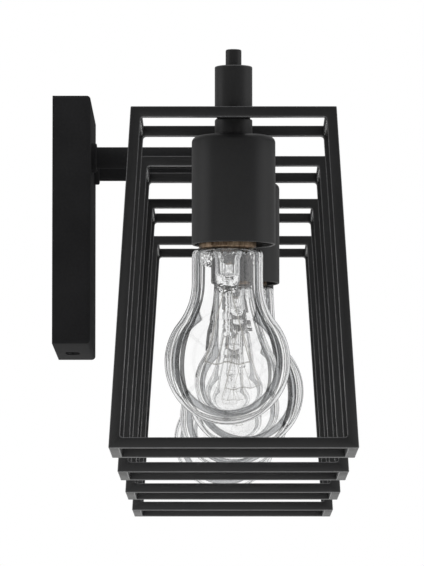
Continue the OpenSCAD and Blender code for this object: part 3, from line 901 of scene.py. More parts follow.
@dataclass
class Wiring:
    """The leads and the wire nuts, on the same route as the CAD leads.

    A light has two leads: the one of pole 1 ends in the front nut, that of pole -1 in the back one.
    Inside the canopy each hangs on a curve with four control points: swing and fall are how far
    the middle two stand from its ends, in the arm and above the nut.
    """

    layout: Layout
    grid: float = 1.4
    radius: float = 1.1
    bend: float = 3.0
    neck_end: float = -10.1
    arm_end: float = 14.4
    front_swing: float = 6.6
    back_swing: float = 15.5
    swing_step: float = 1.8
    near_fall: float = 15.0
    far_fall: float = 9.0
    nut_x: float = 9.0
    nut_mouth: float = 12.0
    front_y: float = -12.8
    back_y: float = -7.2
    in_nut: float = 8.7
    nut_r: float = 5.25
    nut_tip: float = 3.5
    nut_len: float = 22.0
    nut_bore: float = 3.38
    ribs: int = 12
    rib: float = 0.28

    def corner(self, at: Vector, before: Vector, after: Vector) -> list[Vector]:
        """Rounds a corner of a lead with a quarter turn.

        Args:
            at: The corner.
            before: Direction towards it.
            after: Direction away from it.

        Returns:
            Points along the turn.
        """
        centre = at - self.bend * before + self.bend * after
        turns = [math.radians(9 * step) for step in range(11)]
        return [
            centre + self.bend * (math.sin(t) * before - math.cos(t) * after) for t in turns
        ]

    def route(self, light: int, pole: int) -> list[Vector]:
        """Works out one lead's way from the lampholder to its wire nut.

        Args:
            light: Number of the light.
            pole: 1 for the lead in the front nut, -1 for the one in the back nut.

        Returns:
            Points along the lead in millimetres.
        """
        stem = self.layout.stem(light)
        side = -1 if stem.x < 0 else 1
        across = (1 if light in (LIGHTS[0], LIGHTS[-1]) else -1) * self.grid
        up = -pole * self.grid
        y, z = stem.y + across, self.layout.bar_z + up
        neck_x, arm_x = stem.x + side * up, side * (self.layout.arm_x + across)
        nut_x, nut_y = side * self.grid - pole * self.nut_x, self.nut_y(pole) + across
        mouth = Vector((nut_x, nut_y, self.nut_mouth))
        swing = (self.front_swing if pole > 0 else self.back_swing) + self.swing_step * across
        fall = self.near_fall if side == -pole else self.far_fall
        along, out, rise = Vector((-side, 0, 0)), Vector((0, 1, 0)), Vector((0, 0, 1))
        start = Vector((arm_x, -self.arm_end, z))
        pulls = (start, start + swing * out, mouth + fall * rise, mouth)
        drop = []
        for step in range(25):
            t = step / 24
            weights = ((1 - t) ** 3, 3 * t * (1 - t) ** 2, 3 * t * t * (1 - t), t**3)
            drop.append(sum((w * p for w, p in zip(weights, pulls)), Vector()))
        return [
            Vector((neck_x, y, self.neck_end)),
            *self.corner(Vector((neck_x, y, z)), rise, along),
            *self.corner(Vector((arm_x, y, z)), along, out),
            *drop,
            mouth - self.in_nut * rise,
        ]

    def nut_y(self, pole: int) -> float:
        """Returns how far in front of the wall a pole's nut hangs."""
        return self.front_y if pole > 0 else self.back_y

    def nut(self, pole: int) -> None:
        """Moulds one ribbed wire nut.

        Args:
            pole: 1 for the front nut, -1 for the back one.
        """
        r, tip, bore, end = self.nut_r, self.nut_tip, self.nut_bore, -self.nut_len
        lathe = Lathe(bore, 0).to((r, 0), (r, -4.2), (r - 0.35, -4.8), (tip + 0.2, end + 2.4))
        lathe.arc(tip - 1.4, end + 2, -80, 5).to((0, end), (0, -9), (bore, -9))
        bm = lathe.close().turn()
        grip_top, grip_end = -5.0, end + 3

        def ribbed(at: Vector) -> Vector:
            """Presses shallow flutes into the grip.

            Args:
                at: Place of a vertex.

            Returns:
                Its new place.
            """
            if not grip_end <= at.z <= grip_top or at.xy.length < bore + FIT:
                return at
            dip = self.rib * (1 - math.cos(self.ribs * math.atan2(at.y, at.x))) / 2
            return Vector((*(at.xy * (1 - dip / at.xy.length)), at.z))

        grip = [
            edge
            for edge in bm.edges
            if abs(edge.verts[0].co.z - edge.verts[1].co.z) > 10
            and min(v.co.xy.length for v in edge.verts) > tip
        ]
        bmesh.ops.subdivide_edges(bm, edges=grip, cuts=6)
        shaped(bm, ribbed)
        at = (-pole * self.nut_x, self.nut_y(pole), self.nut_mouth)
        name = f"wire_nut_{'front' if pole > 0 else 'back'}"
        fixed(bm, at, name, Finish.ORANGE_PLASTIC, "nut_plastic", "wire_nuts")

    def build(self) -> None:
        """Builds the nuts, the live leads and the neutral leads."""
        self.nut(1)
        self.nut(-1)
        for pole, name, finish in (
            (1, "leads_live", Finish.BLACK_PVC),
            (-1, "leads_neutral", Finish.WHITE_PVC),
        ):
            runs = [self.route(light, pole) for light in LIGHTS]
            piece = wire_object(name, runs, self.radius, finish)
            place(piece, "fixture", "lead_insulation", "leads")


@dataclass
class BarWork:
    """The arms, the main bar, and the couplings and finials on it."""

    layout: Layout
    tube: float = 11.5
    bar_bore: float = 8.5
    arm_bore: float = 7.0
    neck_bore: float = 3.3
    thread: float = 10.0
    canopy_depth: float = 20.0
    arm_in: float = 14.4
    saddle: float = 2.0
    collar_r: float = 7.75
    collar_t: float = 2.8
    collar_soft: float = 0.9
    overrun: float = 5.0
    coupling_r: float = 9.0
    coupling_top: float = 47.5
    coupling_bottom: float = 23.8
    coupling_soft: float = 0.5
    neck_r: float = 5.0
    pin_r: float = 3.8
    pin_h: float = 8.2
    pin_soft: float = 0.7
    spigot_r: float = 2.5
    spigot_l: float = 4.0
    clear: float = 20.0

    def arms(self) -> None:
        """Turns the two arms, saddled on the main bar, and their collars."""
        r, bore, thread = self.tube / 2, self.arm_bore / 2, self.thread / 2
        near, wall, y = self.arm_in, self.canopy_depth, -self.layout.reach
        far = self.layout.reach - r + self.saddle
        ring, rim, t, soft = r + FIT, self.collar_r, self.collar_t, self.collar_soft
        for side, name in ((-1, "left"), (1, "right")):
            x, z = side * self.layout.arm_x, self.layout.bar_z
            lathe = Lathe(bore, near).to((thread, near), (thread, wall), (r, wall))
            tube = laid(lathe.to((r, far), (bore, far)).close().turn(), "Y")
            saddle = rod_cutter(r, (x - self.clear, y, z), (x + self.clear, y, z))
            # The arms and collars wear the shaded copy of the coat, which renders darker, as painted
            # shade.
            coat, slot = Finish.COAT_SHADED_COPY, "black_metal"
            fixed(tube, (x, 0, z), f"arm_tube_{name}", coat, slot, f"arm_{name}", [saddle])
            lathe = Lathe(ring, 0).to((rim, 0), (rim, t - soft))
            lathe.arc(rim - soft, t - soft, 90, 5).to((ring, t))
            collar = laid(lathe.close().turn(), "Y")
            fixed(collar, (x, -wall, z), f"arm_collar_{name}", coat, slot, "arm_collars")

    def bar(self) -> None:
        """Draws the main bar with the holes for the leads."""
        outer, inner = self.tube / 2, self.bar_bore / 2
        end = self.layout.stem(LIGHTS[-1]).x + self.overrun
        lathe = Lathe(inner, -end).to((outer, -end), (outer, end), (inner, end))
        bm = laid(lathe.close().turn(), "X")
        y, z = -self.layout.reach, self.layout.bar_z
        ways = [
            rod_cutter(self.arm_bore / 2, (x, y, z), (x, y + 10, z))
            for x in (-self.layout.arm_x, self.layout.arm_x)
        ]
        ways += [self.layout.bore(light, self.neck_bore, z - 10, z) for light in LIGHTS]
        coat = Finish.POWDER_COAT
        fixed(bm, (0, y, z), "main_bar_tube", coat, "black_metal", "main_bar", ways)

    def coupling(self, light: int) -> None:
        """Turns one coupling and its finial pin.

        Args:
            light: Number of the light that hangs from it.
        """
        at, z = self.layout.stem(light), self.layout.bar_z
        low, high, r = self.coupling_bottom, self.coupling_top, self.coupling_r
        bm = Lathe(0, low).to((r, low), (r, high), (0, high)).turn(edge=self.coupling_soft)
        west = at.x - (self.overrun if light == LIGHTS[0] else self.clear)
        east = at.x + (self.overrun if light == LIGHTS[-1] else self.clear)
        ways = [
            rod_cutter(self.tube / 2 + FIT, (west, at.y, z), (east, at.y, z)),
            self.layout.bore(light, self.neck_r + FIT, low - 5, z),
        ]
        coat, slot = Finish.POWDER_COAT, "black_metal"
        fixed(bm, at, f"coupling_{light}", coat, slot, "couplings", ways)
        foot, top, pin, soft = high - self.spigot_l, high + self.pin_h, self.pin_r, self.pin_soft
        lathe = Lathe(0, foot).to((self.spigot_r, foot), (self.spigot_r, high), (pin, high))
        lathe.to((pin, top - soft)).arc(pin - soft, top - soft, 90, 5).to((0, top))
        fixed(lathe.turn(), at, f"finial_{light}", coat, slot, "finials")

    def build(self) -> None:
        """Builds the arms, the bar and everything on it."""
        self.arms()
        self.bar()
        for light in LIGHTS:
            self.coupling(light)


@dataclass
class Hanging:
    """What hangs at one light, drawn in millimetres about an upright axis.

    Attributes:
        layout: Where the lights stand.
        light: Number of the light.
        kind: Name of the CAD body, without the number.
        crease: Angle above which an edge stays sharp, in degrees.
    """

    layout: Layout
    light: int
    kind: str
    crease: float = CREASE

    @property
    def axis(self) -> Vector | Matrix:
        """Where the axis that the pieces are drawn about stands."""
        return self.layout.stem(self.light)

    def finish_off(
        self,
        bm: bmesh.types.BMesh,
        name: str,
        finish: Finish,
        slot: str,
        *nodes: str,
        at: Vector | Matrix | None = None,
        ways: Sequence[bpy.types.Object] = (),
    ) -> None:
        """Makes a mesh a piece in its place and ties it to the body.

        Args:
            bm: The mesh in millimetres, drawn about the axis.
            name: Name of the piece, without the light's number.
            finish: Its finish.
            slot: Material slot of the record.
            nodes: CAD nodes that it replaces, without the number.
            at: Its place, where that isn't the axis.
            ways: Shapes to cut out of it.
        """
        scaled(bm, self.axis if at is None else at)
        piece = mesh_object(bm, f"{name}_{self.light}", finish, self.crease)
        if ways:
            cut(piece, ways)
        self.tie(piece, slot, *nodes)

    def tie(self, piece: bpy.types.Object, slot: str, *nodes: str) -> None:
        """Ties a piece to the body and to CAD nodes, named without the light's number."""
        body = f"{self.kind}_{self.light}"
        place(piece, body, slot, *(f"{node}_{self.light}" for node in nodes))


@dataclass
class Head(Hanging):
    """One light's turning parts: neck, cage, cup and lampholder."""

    kind: str = "head"
    rod: float = 5.0
    top_w: float = 97.0
    bottom_w: float = 117.5
    length: float = 85.7
    top: float = 23.5
    bottom: float = -137.5
    weld: float = 1.4
    rod_soft: float = 0.45
    strap_w: float = 16.0
    strap_t: float = 1.5
    strap_soft: float = 0.3
    neck_r: float = 5.0
    neck_bore: float = 3.3
    neck_top: float = 29.25
    neck_bottom: float = 4.8
    collar_r: float = 9.0
    collar_top: float = 22.0
    collar_soft: float = 0.6
    cup_r: float = 20.0
    cup_top: float = 13.8
    cup_mouth: float = -38.2
    cup_wall: float = 1.2
    cup_round: float = 3.0
    holder_r: float = 15.5
    holder_top: float = 4.0
    holder_bottom: float = -34.7
    holder_soft: float = 1.4
    boss_r: float = 8.0
    shell_r: float = 13.75
    floor_z: float = -10.4

    @property
    def lean(self) -> float:
        """How far the sides lean out for each millimetre down."""
        return (self.bottom_w - self.top_w) / 2 / (self.top - self.bottom)

    def side(self, z: float) -> float:
        """Returns half the cage's width at a height."""
        return self.top_w / 2 + (self.top - z) * self.lean

    def frame_end(self, end: int) -> bmesh.types.BMesh:
        """Welds one of the two frames: four square rods, mitred at the corners.

        Args:
            end: -1 for the frame on the -X side, 1 for the other one.

        Returns:
            The mesh in millimetres.
        """
        bm = bmesh.new()
        bmesh.ops.create_grid(bm, x_segments=1, y_segments=1, size=1)
        outer, middle = end * self.length / 2, (self.top + self.bottom) / 2
        half = (self.top - self.bottom) / 2

        def standing(at: Vector) -> Vector:
            """Stands the square up and widens it downwards."""
            z = middle + at.y * half
            return Vector((outer, at.x * self.side(z), z))

        shaped(bm, standing).normal_update()
        face = bm.faces[:]
        bmesh.ops.inset_region(
            bm, faces=face, thickness=self.rod, use_boundary=True, use_even_offset=True
        )
        bmesh.ops.delete(bm, geom=face, context="FACES_ONLY")
        pulled = bmesh.ops.extrude_face_region(
            bm, geom=bm.verts[:] + bm.edges[:] + bm.faces[:], use_keep_orig=True
        )["geom"]
        verts = [item for item in pulled if isinstance(item, bmesh.types.BMVert)]
        bmesh.ops.translate(bm, verts=verts, vec=(-end * self.rod, 0, 0))
        bmesh.ops.recalc_face_normals(bm, faces=bm.faces[:])
        inside = [
            edge
            for edge in bm.edges
            if abs(edge.verts[0].co.x - edge.verts[1].co.x) > self.rod / 2
            and abs(edge.verts[0].co.z - middle) < half - 1
        ]
        rounded(bm, inside, self.weld, 3)
        return bm

    def corner_rod(self, side: int, low: float) -> bmesh.types.BMesh:
        """Makes one rod along the cage, leaning like the frames' sides.

        Args:
            side: -1 or 1 along Y.
            low: Height of its lower face.

        Returns:
            The mesh in millimetres.
        """
        level = self.rod * math.sqrt(1 + self.lean**2)
        size = (self.length - 2 * self.rod, level, self.rod)
        bm = block(size, (0, 0, low + self.rod / 2))

        def leaning(at: Vector) -> Vector:
            """Shifts each level out to the frames' side."""
            return Vector((at.x, side * (self.side(at.z) - level / 2 + at.y), at.z))

        shaped(bm, leaning)
        bmesh.ops.recalc_face_normals(bm, faces=bm.faces[:])
        return bm

    def cage(self) -> None:
        """Builds the cage from its frames, its corner rods and its strap with the neck's hole."""
        coat, slot = Finish.POWDER_COAT, "black_metal"
        for end, name in ((-1, "near"), (1, "far")):
            bm = self.frame_end(end)
            # Rounded edges of the rods take the coat's edge finish: wear and a painted highlight.
            bevelled(bm, self.rod_soft)
            self.finish_off(bm, f"cage_frame_{name}", coat, slot, "rails", "uprights")
        rods = bmesh.new()
        for side in (-1, 1):
            for low in (self.bottom, self.top - self.rod):
                bm = self.corner_rod(side, low)
                bevelled(bm, self.rod_soft)
                mesh = bpy.data.meshes.new("rod")
                bm.to_mesh(mesh)
                bm.free()
                rods.from_mesh(mesh)
                bpy.data.meshes.remove(mesh)
        self.finish_off(rods, "cage_rods", coat, slot, "corner_rods")
        low = self.top - self.strap_t
        size = (self.length - 2 * self.rod, self.strap_w, self.strap_t)
        bm = block(size, (0, 0, low + self.strap_t / 2))
        bevelled(bm, self.strap_soft)
        way = self.layout.bore(self.light, self.neck_r + FIT, low - 3, self.top + 3)
        self.finish_off(bm, "cage_strap", coat, slot, "corner_rods", ways=[way])

    def neck(self) -> None:
        """Turns the neck: a collar with a threaded end above and below."""
        r, soft, low, high = self.collar_r, self.collar_soft, self.cup_top, self.collar_top
        lathe = Lathe(self.neck_bore, self.neck_bottom).to((self.neck_r, self.neck_bottom))
        lathe.to((self.neck_r, low), (r - soft, low)).arc(r - soft, low + soft, 90, 4)
        lathe.to((r, high - soft)).arc(r - soft, high - soft, 90, 4)
        lathe.to((self.neck_r, high), (self.neck_r, self.neck_top))
        bm = lathe.to((self.neck_bore, self.neck_top)).close().turn()
        self.finish_off(bm, "neck_collar", Finish.POWDER_COAT, "black_metal", "neck")

    def cup(self) -> None:
        """Spins the cup, with a rounded shoulder and a softened lip, and bores it for the neck."""
        r, top, lip = self.cup_r, self.cup_top, self.cup_wall / 2
        bend, low = self.cup_round, self.cup_mouth + self.cup_wall / 2
        lathe = Lathe(0, top).to((r - bend, top)).arc(r - bend, top - bend, -90, 8)
        lathe.to((r, low)).arc(r - lip, low, -180, 8).to((r - self.cup_wall, top - bend))
        lathe.arc(r - bend, top - bend, 90, 8).to((0, top - self.cup_wall))
        way = self.layout.bore(self.light, self.neck_r + FIT, top - 3, top + 3)
        coat, at = Finish.POWDER_COAT, self.layout.cup(self.light)
        self.finish_off(lathe.turn(), "cup_shell", coat, "black_metal", "cup", at=at, ways=[way])

    def lampholder(self) -> None:
        """Casts the porcelain lampholder: its body in the socket's place, its boss on the neck."""
        low, high, r = self.holder_bottom, self.holder_top, self.holder_r
        soft, lip, bore = self.holder_soft, self.collar_soft, self.neck_bore
        lathe = Lathe(0, self.floor_z).to((self.shell_r, self.floor_z), (self.shell_r, low + lip))
        lathe.arc(self.shell_r + lip, low + lip, 90, 4)
        lathe.to((r - soft, low)).arc(r - soft, low + soft, 90, 6)
        lathe.to((r, high - soft)).arc(r - soft, high - soft, 90, 6).to((0, high))
        way = self.layout.bore(self.light, bore, self.floor_z - 3, high + 3)
        clay, slot, node = Finish.PORCELAIN, "porcelain", "lampholder"
        at = self.layout.socket(self.light)
        self.finish_off(lathe.turn(), "porcelain_holder", clay, slot, node, at=at, ways=[way])
        seat, neck, foot = self.cup_top - self.cup_wall, self.neck_r + FIT, high - 1
        lathe = Lathe(bore, foot).to((self.boss_r, foot), (self.boss_r, seat), (neck, seat))
        lathe.to((neck, self.neck_bottom), (bore, self.neck_bottom))
        self.finish_off(lathe.close().turn(), "porcelain_boss", clay, slot, node)

    def build(self) -> None:
        """Builds the whole head."""
        self.neck()
        self.cage()
        self.cup()
        self.lampholder()
        repaint(f"holder_contacts_{self.light}", Finish.COPPER)


@dataclass
class Bulb(Hanging):
    """One clear bulb: glass, cap, inner stem and filament."""

    kind: str = "bulb"
    crease: float = 40.0
    seat: float = -39.9
    cap_r: float = 13.05
    cap_h: float = 26.5
    cap_wall: float = 0.5
    thread: float = 0.6
    pitch: float = 3.63
    skirt: float = 4.4
    turns: float = 4.0
    foot_r: float = 4.8
    neck_r: float = 17.0
    shoulder_h: float = 3.0
    globe_r: float = 30.0
    globe_z: float = -94.0
    flare_z: float = -56.2
    glass: float = 0.9
    seal_h: float = 8.0
    tube_r: float = 6.0
    tube_wall: float = 0.9
    rod_r: float = 1.2
    press_z: float = -61.2
    pinch: float = 0.62
    button_z: float = -82.0
    filament_w: float = 21.6
    sag: float = 1.2
    coil_r: float = 0.32
    coil_turns: int = 52
    lead_r: float = 0.27
    support_r: float = 0.15
    coil_wire_r: float = 0.09

    @property
    def axis(self) -> Matrix:
        """Placing of the socket."""
        return self.layout.socket(self.light)

    @property
    def sleeve_r(self) -> float:
        """Inside radius of the cap."""
        return self.cap_r - self.thread - self.cap_wall

    def envelope(self) -> None:
        """Blows the envelope: neck, fillet and globe, with a wall of even thickness."""
        rise = self.flare_z - self.globe_z
        gap = self.globe_r - self.neck_r
        flare = (rise**2 + self.neck_r**2 - self.globe_r**2) / (2 * gap)
        swing = math.degrees(math.atan2(rise, self.neck_r + flare))
        seat, t, drop = self.seat, self.glass, self.shoulder_h
        top, end = seat + self.seal_h, self.sleeve_r - FIT
        steps = 10

        def shoulder(inset: float) -> list[tuple[float, float]]:
            """Draws the elliptical shoulder under the cap, from the top.

            Args:
                inset: How far it lies inside the outer face.

            Returns:
                Radius and height of each point.
            """
            wide, tall = self.neck_r - self.cap_r - inset, drop - inset
            turns = [math.radians(90 * i / steps) for i in range(steps + 1)]
            return [
                (self.cap_r + wide * math.sin(a), seat - drop + tall * math.cos(a)) for a in turns
            ]

        lathe = Lathe(end, top).to((end, seat), (self.cap_r, seat))
        lathe.to(*shoulder(0)[1:], (self.neck_r, self.flare_z))
        lathe.arc(self.neck_r + flare, self.flare_z, swing, 16)
        lathe.arc(0, self.globe_z, -(swing + 90), 48)
        lathe.to((0, self.globe_z - self.globe_r + t))
        lathe.arc(0, self.globe_z, swing + 90, 48)
        lathe.arc(self.neck_r + flare, self.flare_z, -swing, 16)
        lathe.to(*shoulder(t)[::-1], (end - t, seat - t), (end - t, top))
        bm = lathe.close().turn()
        for face in bm.faces:
            at = face.calc_center_median()
            outward = Vector((at.x, at.y, min(0, at.z - self.globe_z)))
            face.material_index = int(face.normal.dot(outward) < 0)
        self.finish_off(bm, "bulb_envelope", Finish.BULB_GLASS, "clear_glass", "bulb_glass")

    def cap(self) -> None:
        """Rolls the screw cap with a true helical thread, and casts its insulator and contact."""
        crest, inner, foot, high = self.cap_r, self.sleeve_r, self.foot_r, self.cap_h
        low, top = self.skirt, self.skirt + self.turns * self.pitch
        at = self.axis @ Matrix.Translation((0, 0, self.seat))
        rings = 60
        lathe = Lathe(inner, 0).to((crest - 0.25, 0))
        lathe.arc(crest - 0.25, 0.25, 90, 3).to((crest, low))
        lathe.to(*((crest, low + (top - low) * i / rings) for i in range(1, rings + 1)))
        lathe.to((crest - 1, top + 0.6), (crest - 2.2, top + 0.9), (crest - 2.2, top + 0.3))
        lathe.to((inner - 0.1, top - self.cap_wall), (inner, top - 1.2))

        def threaded(at: Vector) -> Vector:
            """Sinks the helix into the cap's wall, fading in over the first half turn.

            Args:
                at: Place of a vertex.

            Returns:
                Its new place.
            """
            r = at.xy.length
            if r < crest - 0.01 or not low < at.z <= top:
                return at
            climb = (at.z - low) / self.pitch
            wave = (1 - math.cos(math.tau * (climb - math.atan2(at.y, at.x) / math.tau))) / 2
            sunk = self.thread * wave * min(1.0, climb * 2)
            return Vector((*(at.xy * (1 - sunk / r)), at.z))

        shell = shaped(lathe.close().turn(), threaded)
        edge, seam = crest - 2.25, high - 1.8
        lathe = Lathe(0, top + 0.2).to((edge, top + 0.2), (edge, top + 0.85))
        insulator = lathe.to((foot + 0.7, seam - 0.3), (foot, seam), (0, seam)).turn()
        lathe = Lathe(0, seam).to((foot, seam), (foot, high - 1.1))
        lathe.arc(foot - 1, high - 1.1, 60, 5).to((1.6, high - 0.05), (0, high))
        for bm, name, finish in (
            (shell, "cap_shell", Finish.COPPER),
            (insulator, "cap_insulator", Finish.BLACK_GLASS),
            (lathe.turn(), "cap_contact", Finish.SOLDER),
        ):
            self.finish_off(bm, name, finish, "cap_metal", "bulb_cap", at=at)

    def stem(self) -> None:
        """Draws the inner glass: flare, tube, pinched press, rod and button."""
        rim, wall = self.sleeve_r - 2 * FIT - self.glass, self.tube_wall
        r, rod, press, button = self.tube_r, self.rod_r, self.press_z, self.button_z
        top, flare, bore = self.seat + self.seal_h, self.seat - 5, self.tube_r - wall
        lathe = Lathe(rim - wall, top).to((rim, top), (rim, top - 1))
        lathe.to((rim - 2.2, top - 4.5), (r + 0.8, flare + 2.5), (r, flare), (r, press + 6))
        lathe.to((r - 0.7, press + 3.5), (4.5, press + 1.2), (4.2, press + 0.3))
        lathe.to((3.6, press), (rod, press - 0.6), (rod, button + 2))
        lathe.to((2.0, button + 1.9), (2.2, button + 1.2), (2.0, button + 0.2))
        lathe.to((1.2, button), (0, button))
        lathe.to((0, press + 7.5), (bore - 0.6, press + 8.3), (bore, press + 9.5))
        lathe.to((bore, flare), (bore + 0.8, flare + 2.5), (rim - 2.2 - wall, top - 4.5))
        start, full = press + 6, press + 1.2

        def pinched(at: Vector) -> Vector:
            """Flattens the tube across X towards the press.

            Args:
                at: Place of a vertex.

            Returns:
                Its new place.
            """
            if at.z > start or at.xy.length < rod + 0.1 or at.z < press - 0.1:
                return at
            share = min(1.0, (start - at.z) / (start - full))
            return Vector((at.x * (1 - self.pinch * share), at.y, at.z))

        bm = shaped(lathe.close().turn(steps=48), pinched)
        self.finish_off(bm, "bulb_inner_stem", Finish.STEM_GLASS, "clear_glass", "bulb_stem")

    def filament(self) -> None:
        """Strings the lead-in wires, the supports and the coiled filament."""
        half, z, press, button = self.filament_w / 2, self.globe_z, self.press_z, self.button_z

        def hang(share: float) -> float:
            """Returns the filament's height at a share of its half length."""
            return z - self.sag * math.sin(math.pi * share) ** 2

        leads = [
            [(s * 1.5, press + 3), (s * 2.2, press - 1), (s * (half - 0.6), z + 1.5), (s * half, z)]
            for s in (-1, 1)
        ]
        leads = [[(0, y, height) for y, height in lead] for lead in leads]
        supports = [
            [
                (0, i * 1.2, button + 0.6),
                (0, i * 1.9, button - 1),
                (0, i * half / 2, hang(i / 2) + 0.5),
                (0.5, i * half / 2, hang(i / 2) - 0.4),
            ]
            for i in (-1, 0, 1)
        ]
        per_turn, coil = 10, []
        for i in range(self.coil_turns * per_turn + 1):
            share = 2 * i / (self.coil_turns * per_turn) - 1
            x, up = (self.coil_r * f(math.tau * i / per_turn) for f in (math.cos, math.sin))
            coil.append((x, half * share, hang(share) + up))
        for name, runs, radius in (
            ("lead_in_wires", leads, self.lead_r),
            ("support_wires", supports, self.support_r),
            ("filament_coil", [coil], self.coil_wire_r),
        ):
            runs = [[self.axis @ Vector(point) for point in run] for run in runs]
            piece = wire_object(f"{name}_{self.light}", runs, radius, Finish.WIRE)
            self.tie(piece, "filament_wire", "bulb_filament")

    def build(self) -> None:
        """Builds the whole bulb."""
        self.envelope()
        self.cap()
        self.stem()
        self.filament()


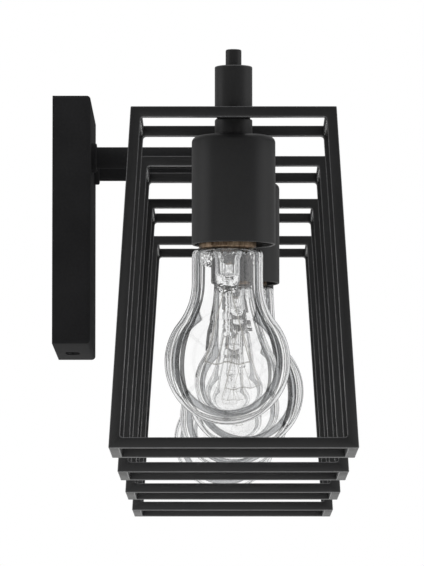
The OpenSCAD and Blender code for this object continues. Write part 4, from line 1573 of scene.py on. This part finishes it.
@dataclass
class Studio:
    """Pale floor, soft lamps, white surroundings and the camera of the photograph.

    Attributes:
        focal_px: Focal length in pixels of the photograph's frame.
        frame_px: Width and height of that frame.
        eye: Camera position in millimetres.
        pitch: How far the camera looks up, in degrees.
        yaw: How far it looks towards the wall, in degrees.
        sensor: Height of its sensor in millimetres.
        floor_z: Height of the floor in millimetres.
        floor_half: Half the floor's width in metres.
        fade_m: Distances in metres between which the floor fades into the background.
        fade: Share of the background's white in it at these distances.
        sweep_x: Directions, along X, between which what metal and glass mirror grows brighter.
        sweep: Strengths of the surroundings there.
        soft: Strength of the light that they give.
        aim: The point in metres that the soft boxes face.
    """

    focal_px: float = 5543.5
    frame_px: tuple[int, int] = (424, 566)
    eye: Point = (-2958.8, -92.1, -283.2)
    pitch: float = 4.921
    yaw: float = 0.161
    sensor: float = 36.0
    floor_z: float = -700.0
    floor_half: float = 6.0
    fade_m: tuple[float, float] = (1.0, 4.0)
    fade: tuple[float, float] = (0.35, 1.0)
    sweep_x: tuple[float, float] = (-0.3, 0.7)
    sweep: tuple[float, float] = (0.2, 0.35)
    soft: float = 0.8
    aim: Point = (0.0, -0.1, 0.0)

    def camera(self) -> None:
        """Sets up the camera at the photograph's angle."""
        data = bpy.data.cameras.new("camera")
        data.sensor_fit = "VERTICAL"
        data.sensor_width = data.sensor_height = self.sensor
        data.lens = self.focal_px * self.sensor / self.frame_px[1]
        data.clip_start, data.clip_end = 0.1, 50
        camera = linked("camera", data)
        up, aside = math.radians(self.pitch), math.radians(self.yaw)
        flat = math.cos(up)
        look = Vector((flat * math.cos(aside), flat * math.sin(aside), math.sin(up)))
        camera.location = Vector(self.eye) * MM
        camera.rotation_euler = look.to_track_quat("-Z", "Y").to_euler()
        bpy.context.scene.camera = camera

    def seen(self, tree: bpy.types.NodeTree) -> tuple[bpy.types.Node, bpy.types.Node]:
        """Adds the nodes that tell what the camera sees, directly or through glass.

        Args:
            tree: The node tree that gets them.

        Returns:
            The Light Path node, and the node whose value is 1 for such rays.
        """
        ray = add_node(tree, "ShaderNodeLightPath")
        kinds = {0: ray.outputs["Is Camera Ray"], 1: ray.outputs["Is Transmission Ray"]}
        return ray, add_node(tree, "ShaderNodeMath", kinds, operation="MAXIMUM")

    def floor(self) -> None:
        """Lays the pale floor, which isn't there from below, so that the light shows there too."""
        bm = bmesh.new()
        bmesh.ops.create_grid(bm, x_segments=2, y_segments=2, size=self.floor_half)
        bmesh.ops.translate(bm, verts=bm.verts[:], vec=(0, 0, self.floor_z * MM))
        floor = mesh_object(bm, "floor", None)
        material, tree = new_tree("pale_floor")
        looks = {"Base Color": linear("#f2f2f1"), "Roughness": 0.8}
        surface = add_node(tree, "ShaderNodeBsdfPrincipled", looks)
        # Seen by the camera, the floor fades into the white of the background with no horizon.
        _, seen = self.seen(tree)
        where = add_node(tree, "ShaderNodeTexCoord").outputs["Object"]
        away = add_node(tree, "ShaderNodeVectorMath", {0: where}, operation="LENGTH")
        span = (away.outputs["Value"], *self.fade_m, *self.fade)
        fade = add_node(tree, "ShaderNodeMapRange", dict(zip(RANGE, span)))
        share = add_node(tree, "ShaderNodeMath", {0: seen, 1: fade}, operation="MULTIPLY")
        white = {"Color": (1, 1, 1, 1), "Strength": 1.0}
        glow = add_node(tree, "ShaderNodeEmission", white)
        mixed = add_node(tree, "ShaderNodeMixShader", {0: share, 1: surface, 2: glow})
        clear = add_node(tree, "ShaderNodeBsdfTransparent")
        under = add_node(tree, "ShaderNodeNewGeometry").outputs["Backfacing"]
        top_only = add_node(tree, "ShaderNodeMixShader", {0: under, 1: mixed, 2: clear})
        add_node(tree, "ShaderNodeOutputMaterial", {"Surface": top_only})
        floor.data.materials.append(material)

    def lamp(self, name: str, at: Point, size: float, power: float) -> None:
        """Hangs one soft box that faces the light.

        Args:
            name: The lamp's name.
            at: Its place in metres.
            size: Its width and height in metres.
            power: Its power in watts.
        """
        data = bpy.data.lights.new(name, "AREA")
        data.shape = "SQUARE"
        data.size, data.energy = size, power
        lamp = linked(name, data)
        lamp.location = at
        # The bulbs show the plain surroundings, not the outline of a soft box.
        lamp.visible_transmission = False
        facing = Vector(self.aim) - Vector(at)
        lamp.rotation_euler = facing.to_track_quat("-Z", "Y").to_euler()

    def world(self) -> None:
        """Makes the white surroundings, which metal and glass show too."""
        world = bpy.data.worlds.new("surroundings")
        bpy.context.scene.world = world
        world.use_nodes = True
        tree = world.node_tree
        tree.nodes.clear()
        ray, seen = self.seen(tree)
        # In reflections the white backdrop stands at the far end of the bar and the room is dim.
        where = add_node(tree, "ShaderNodeTexCoord").outputs["Generated"]
        towards = add_node(tree, "ShaderNodeSeparateXYZ", {"Vector": where}).outputs["X"]
        span = dict(zip(RANGE, (towards, *self.sweep_x, *self.sweep)))
        sweep = add_node(tree, "ShaderNodeMapRange", span)
        soft, white, mirrored = (
            add_node(tree, "ShaderNodeBackground", {"Color": (1, 1, 1, 1), "Strength": strength})
            for strength in (self.soft, 1.0, sweep)
        )
        kinds = {0: ray.outputs["Is Glossy Ray"], 1: soft, 2: mirrored}
        lit = add_node(tree, "ShaderNodeMixShader", kinds)
        mixed = add_node(tree, "ShaderNodeMixShader", {0: seen, 1: lit, 2: white})
        add_node(tree, "ShaderNodeOutputWorld", {"Surface": mixed})

    def build(self) -> None:
        """Builds the studio and sets the picture's plain look."""
        scene = bpy.context.scene
        scene.view_settings.view_transform = "Standard"
        # Four clear bulbs stand one behind the other, so light passes many glass walls.
        scene.cycles.max_bounces = scene.cycles.transmission_bounces = 40
        scene.cycles.glossy_bounces = 8
        self.camera()
        self.floor()
        self.world()
        self.lamp("room_side", (-0.4, -2.2, 0.4), 1.7, 4)
        self.lamp("wall_side", (-0.4, 2.2, 0.4), 1.4, 3.5)
        self.lamp("overhead", (0.2, -0.4, 2.3), 1.6, 8)


def main() -> None:
    """Builds the studio and the light, piece by piece."""
    layout = Layout()
    Studio().build()
    Canopy(layout).build()
    Wiring(layout).build()
    BarWork(layout).build()
    for light in LIGHTS:
        Head(layout, light).build()
        Bulb(layout, light).build()


if __name__ == "__main__":
    main()
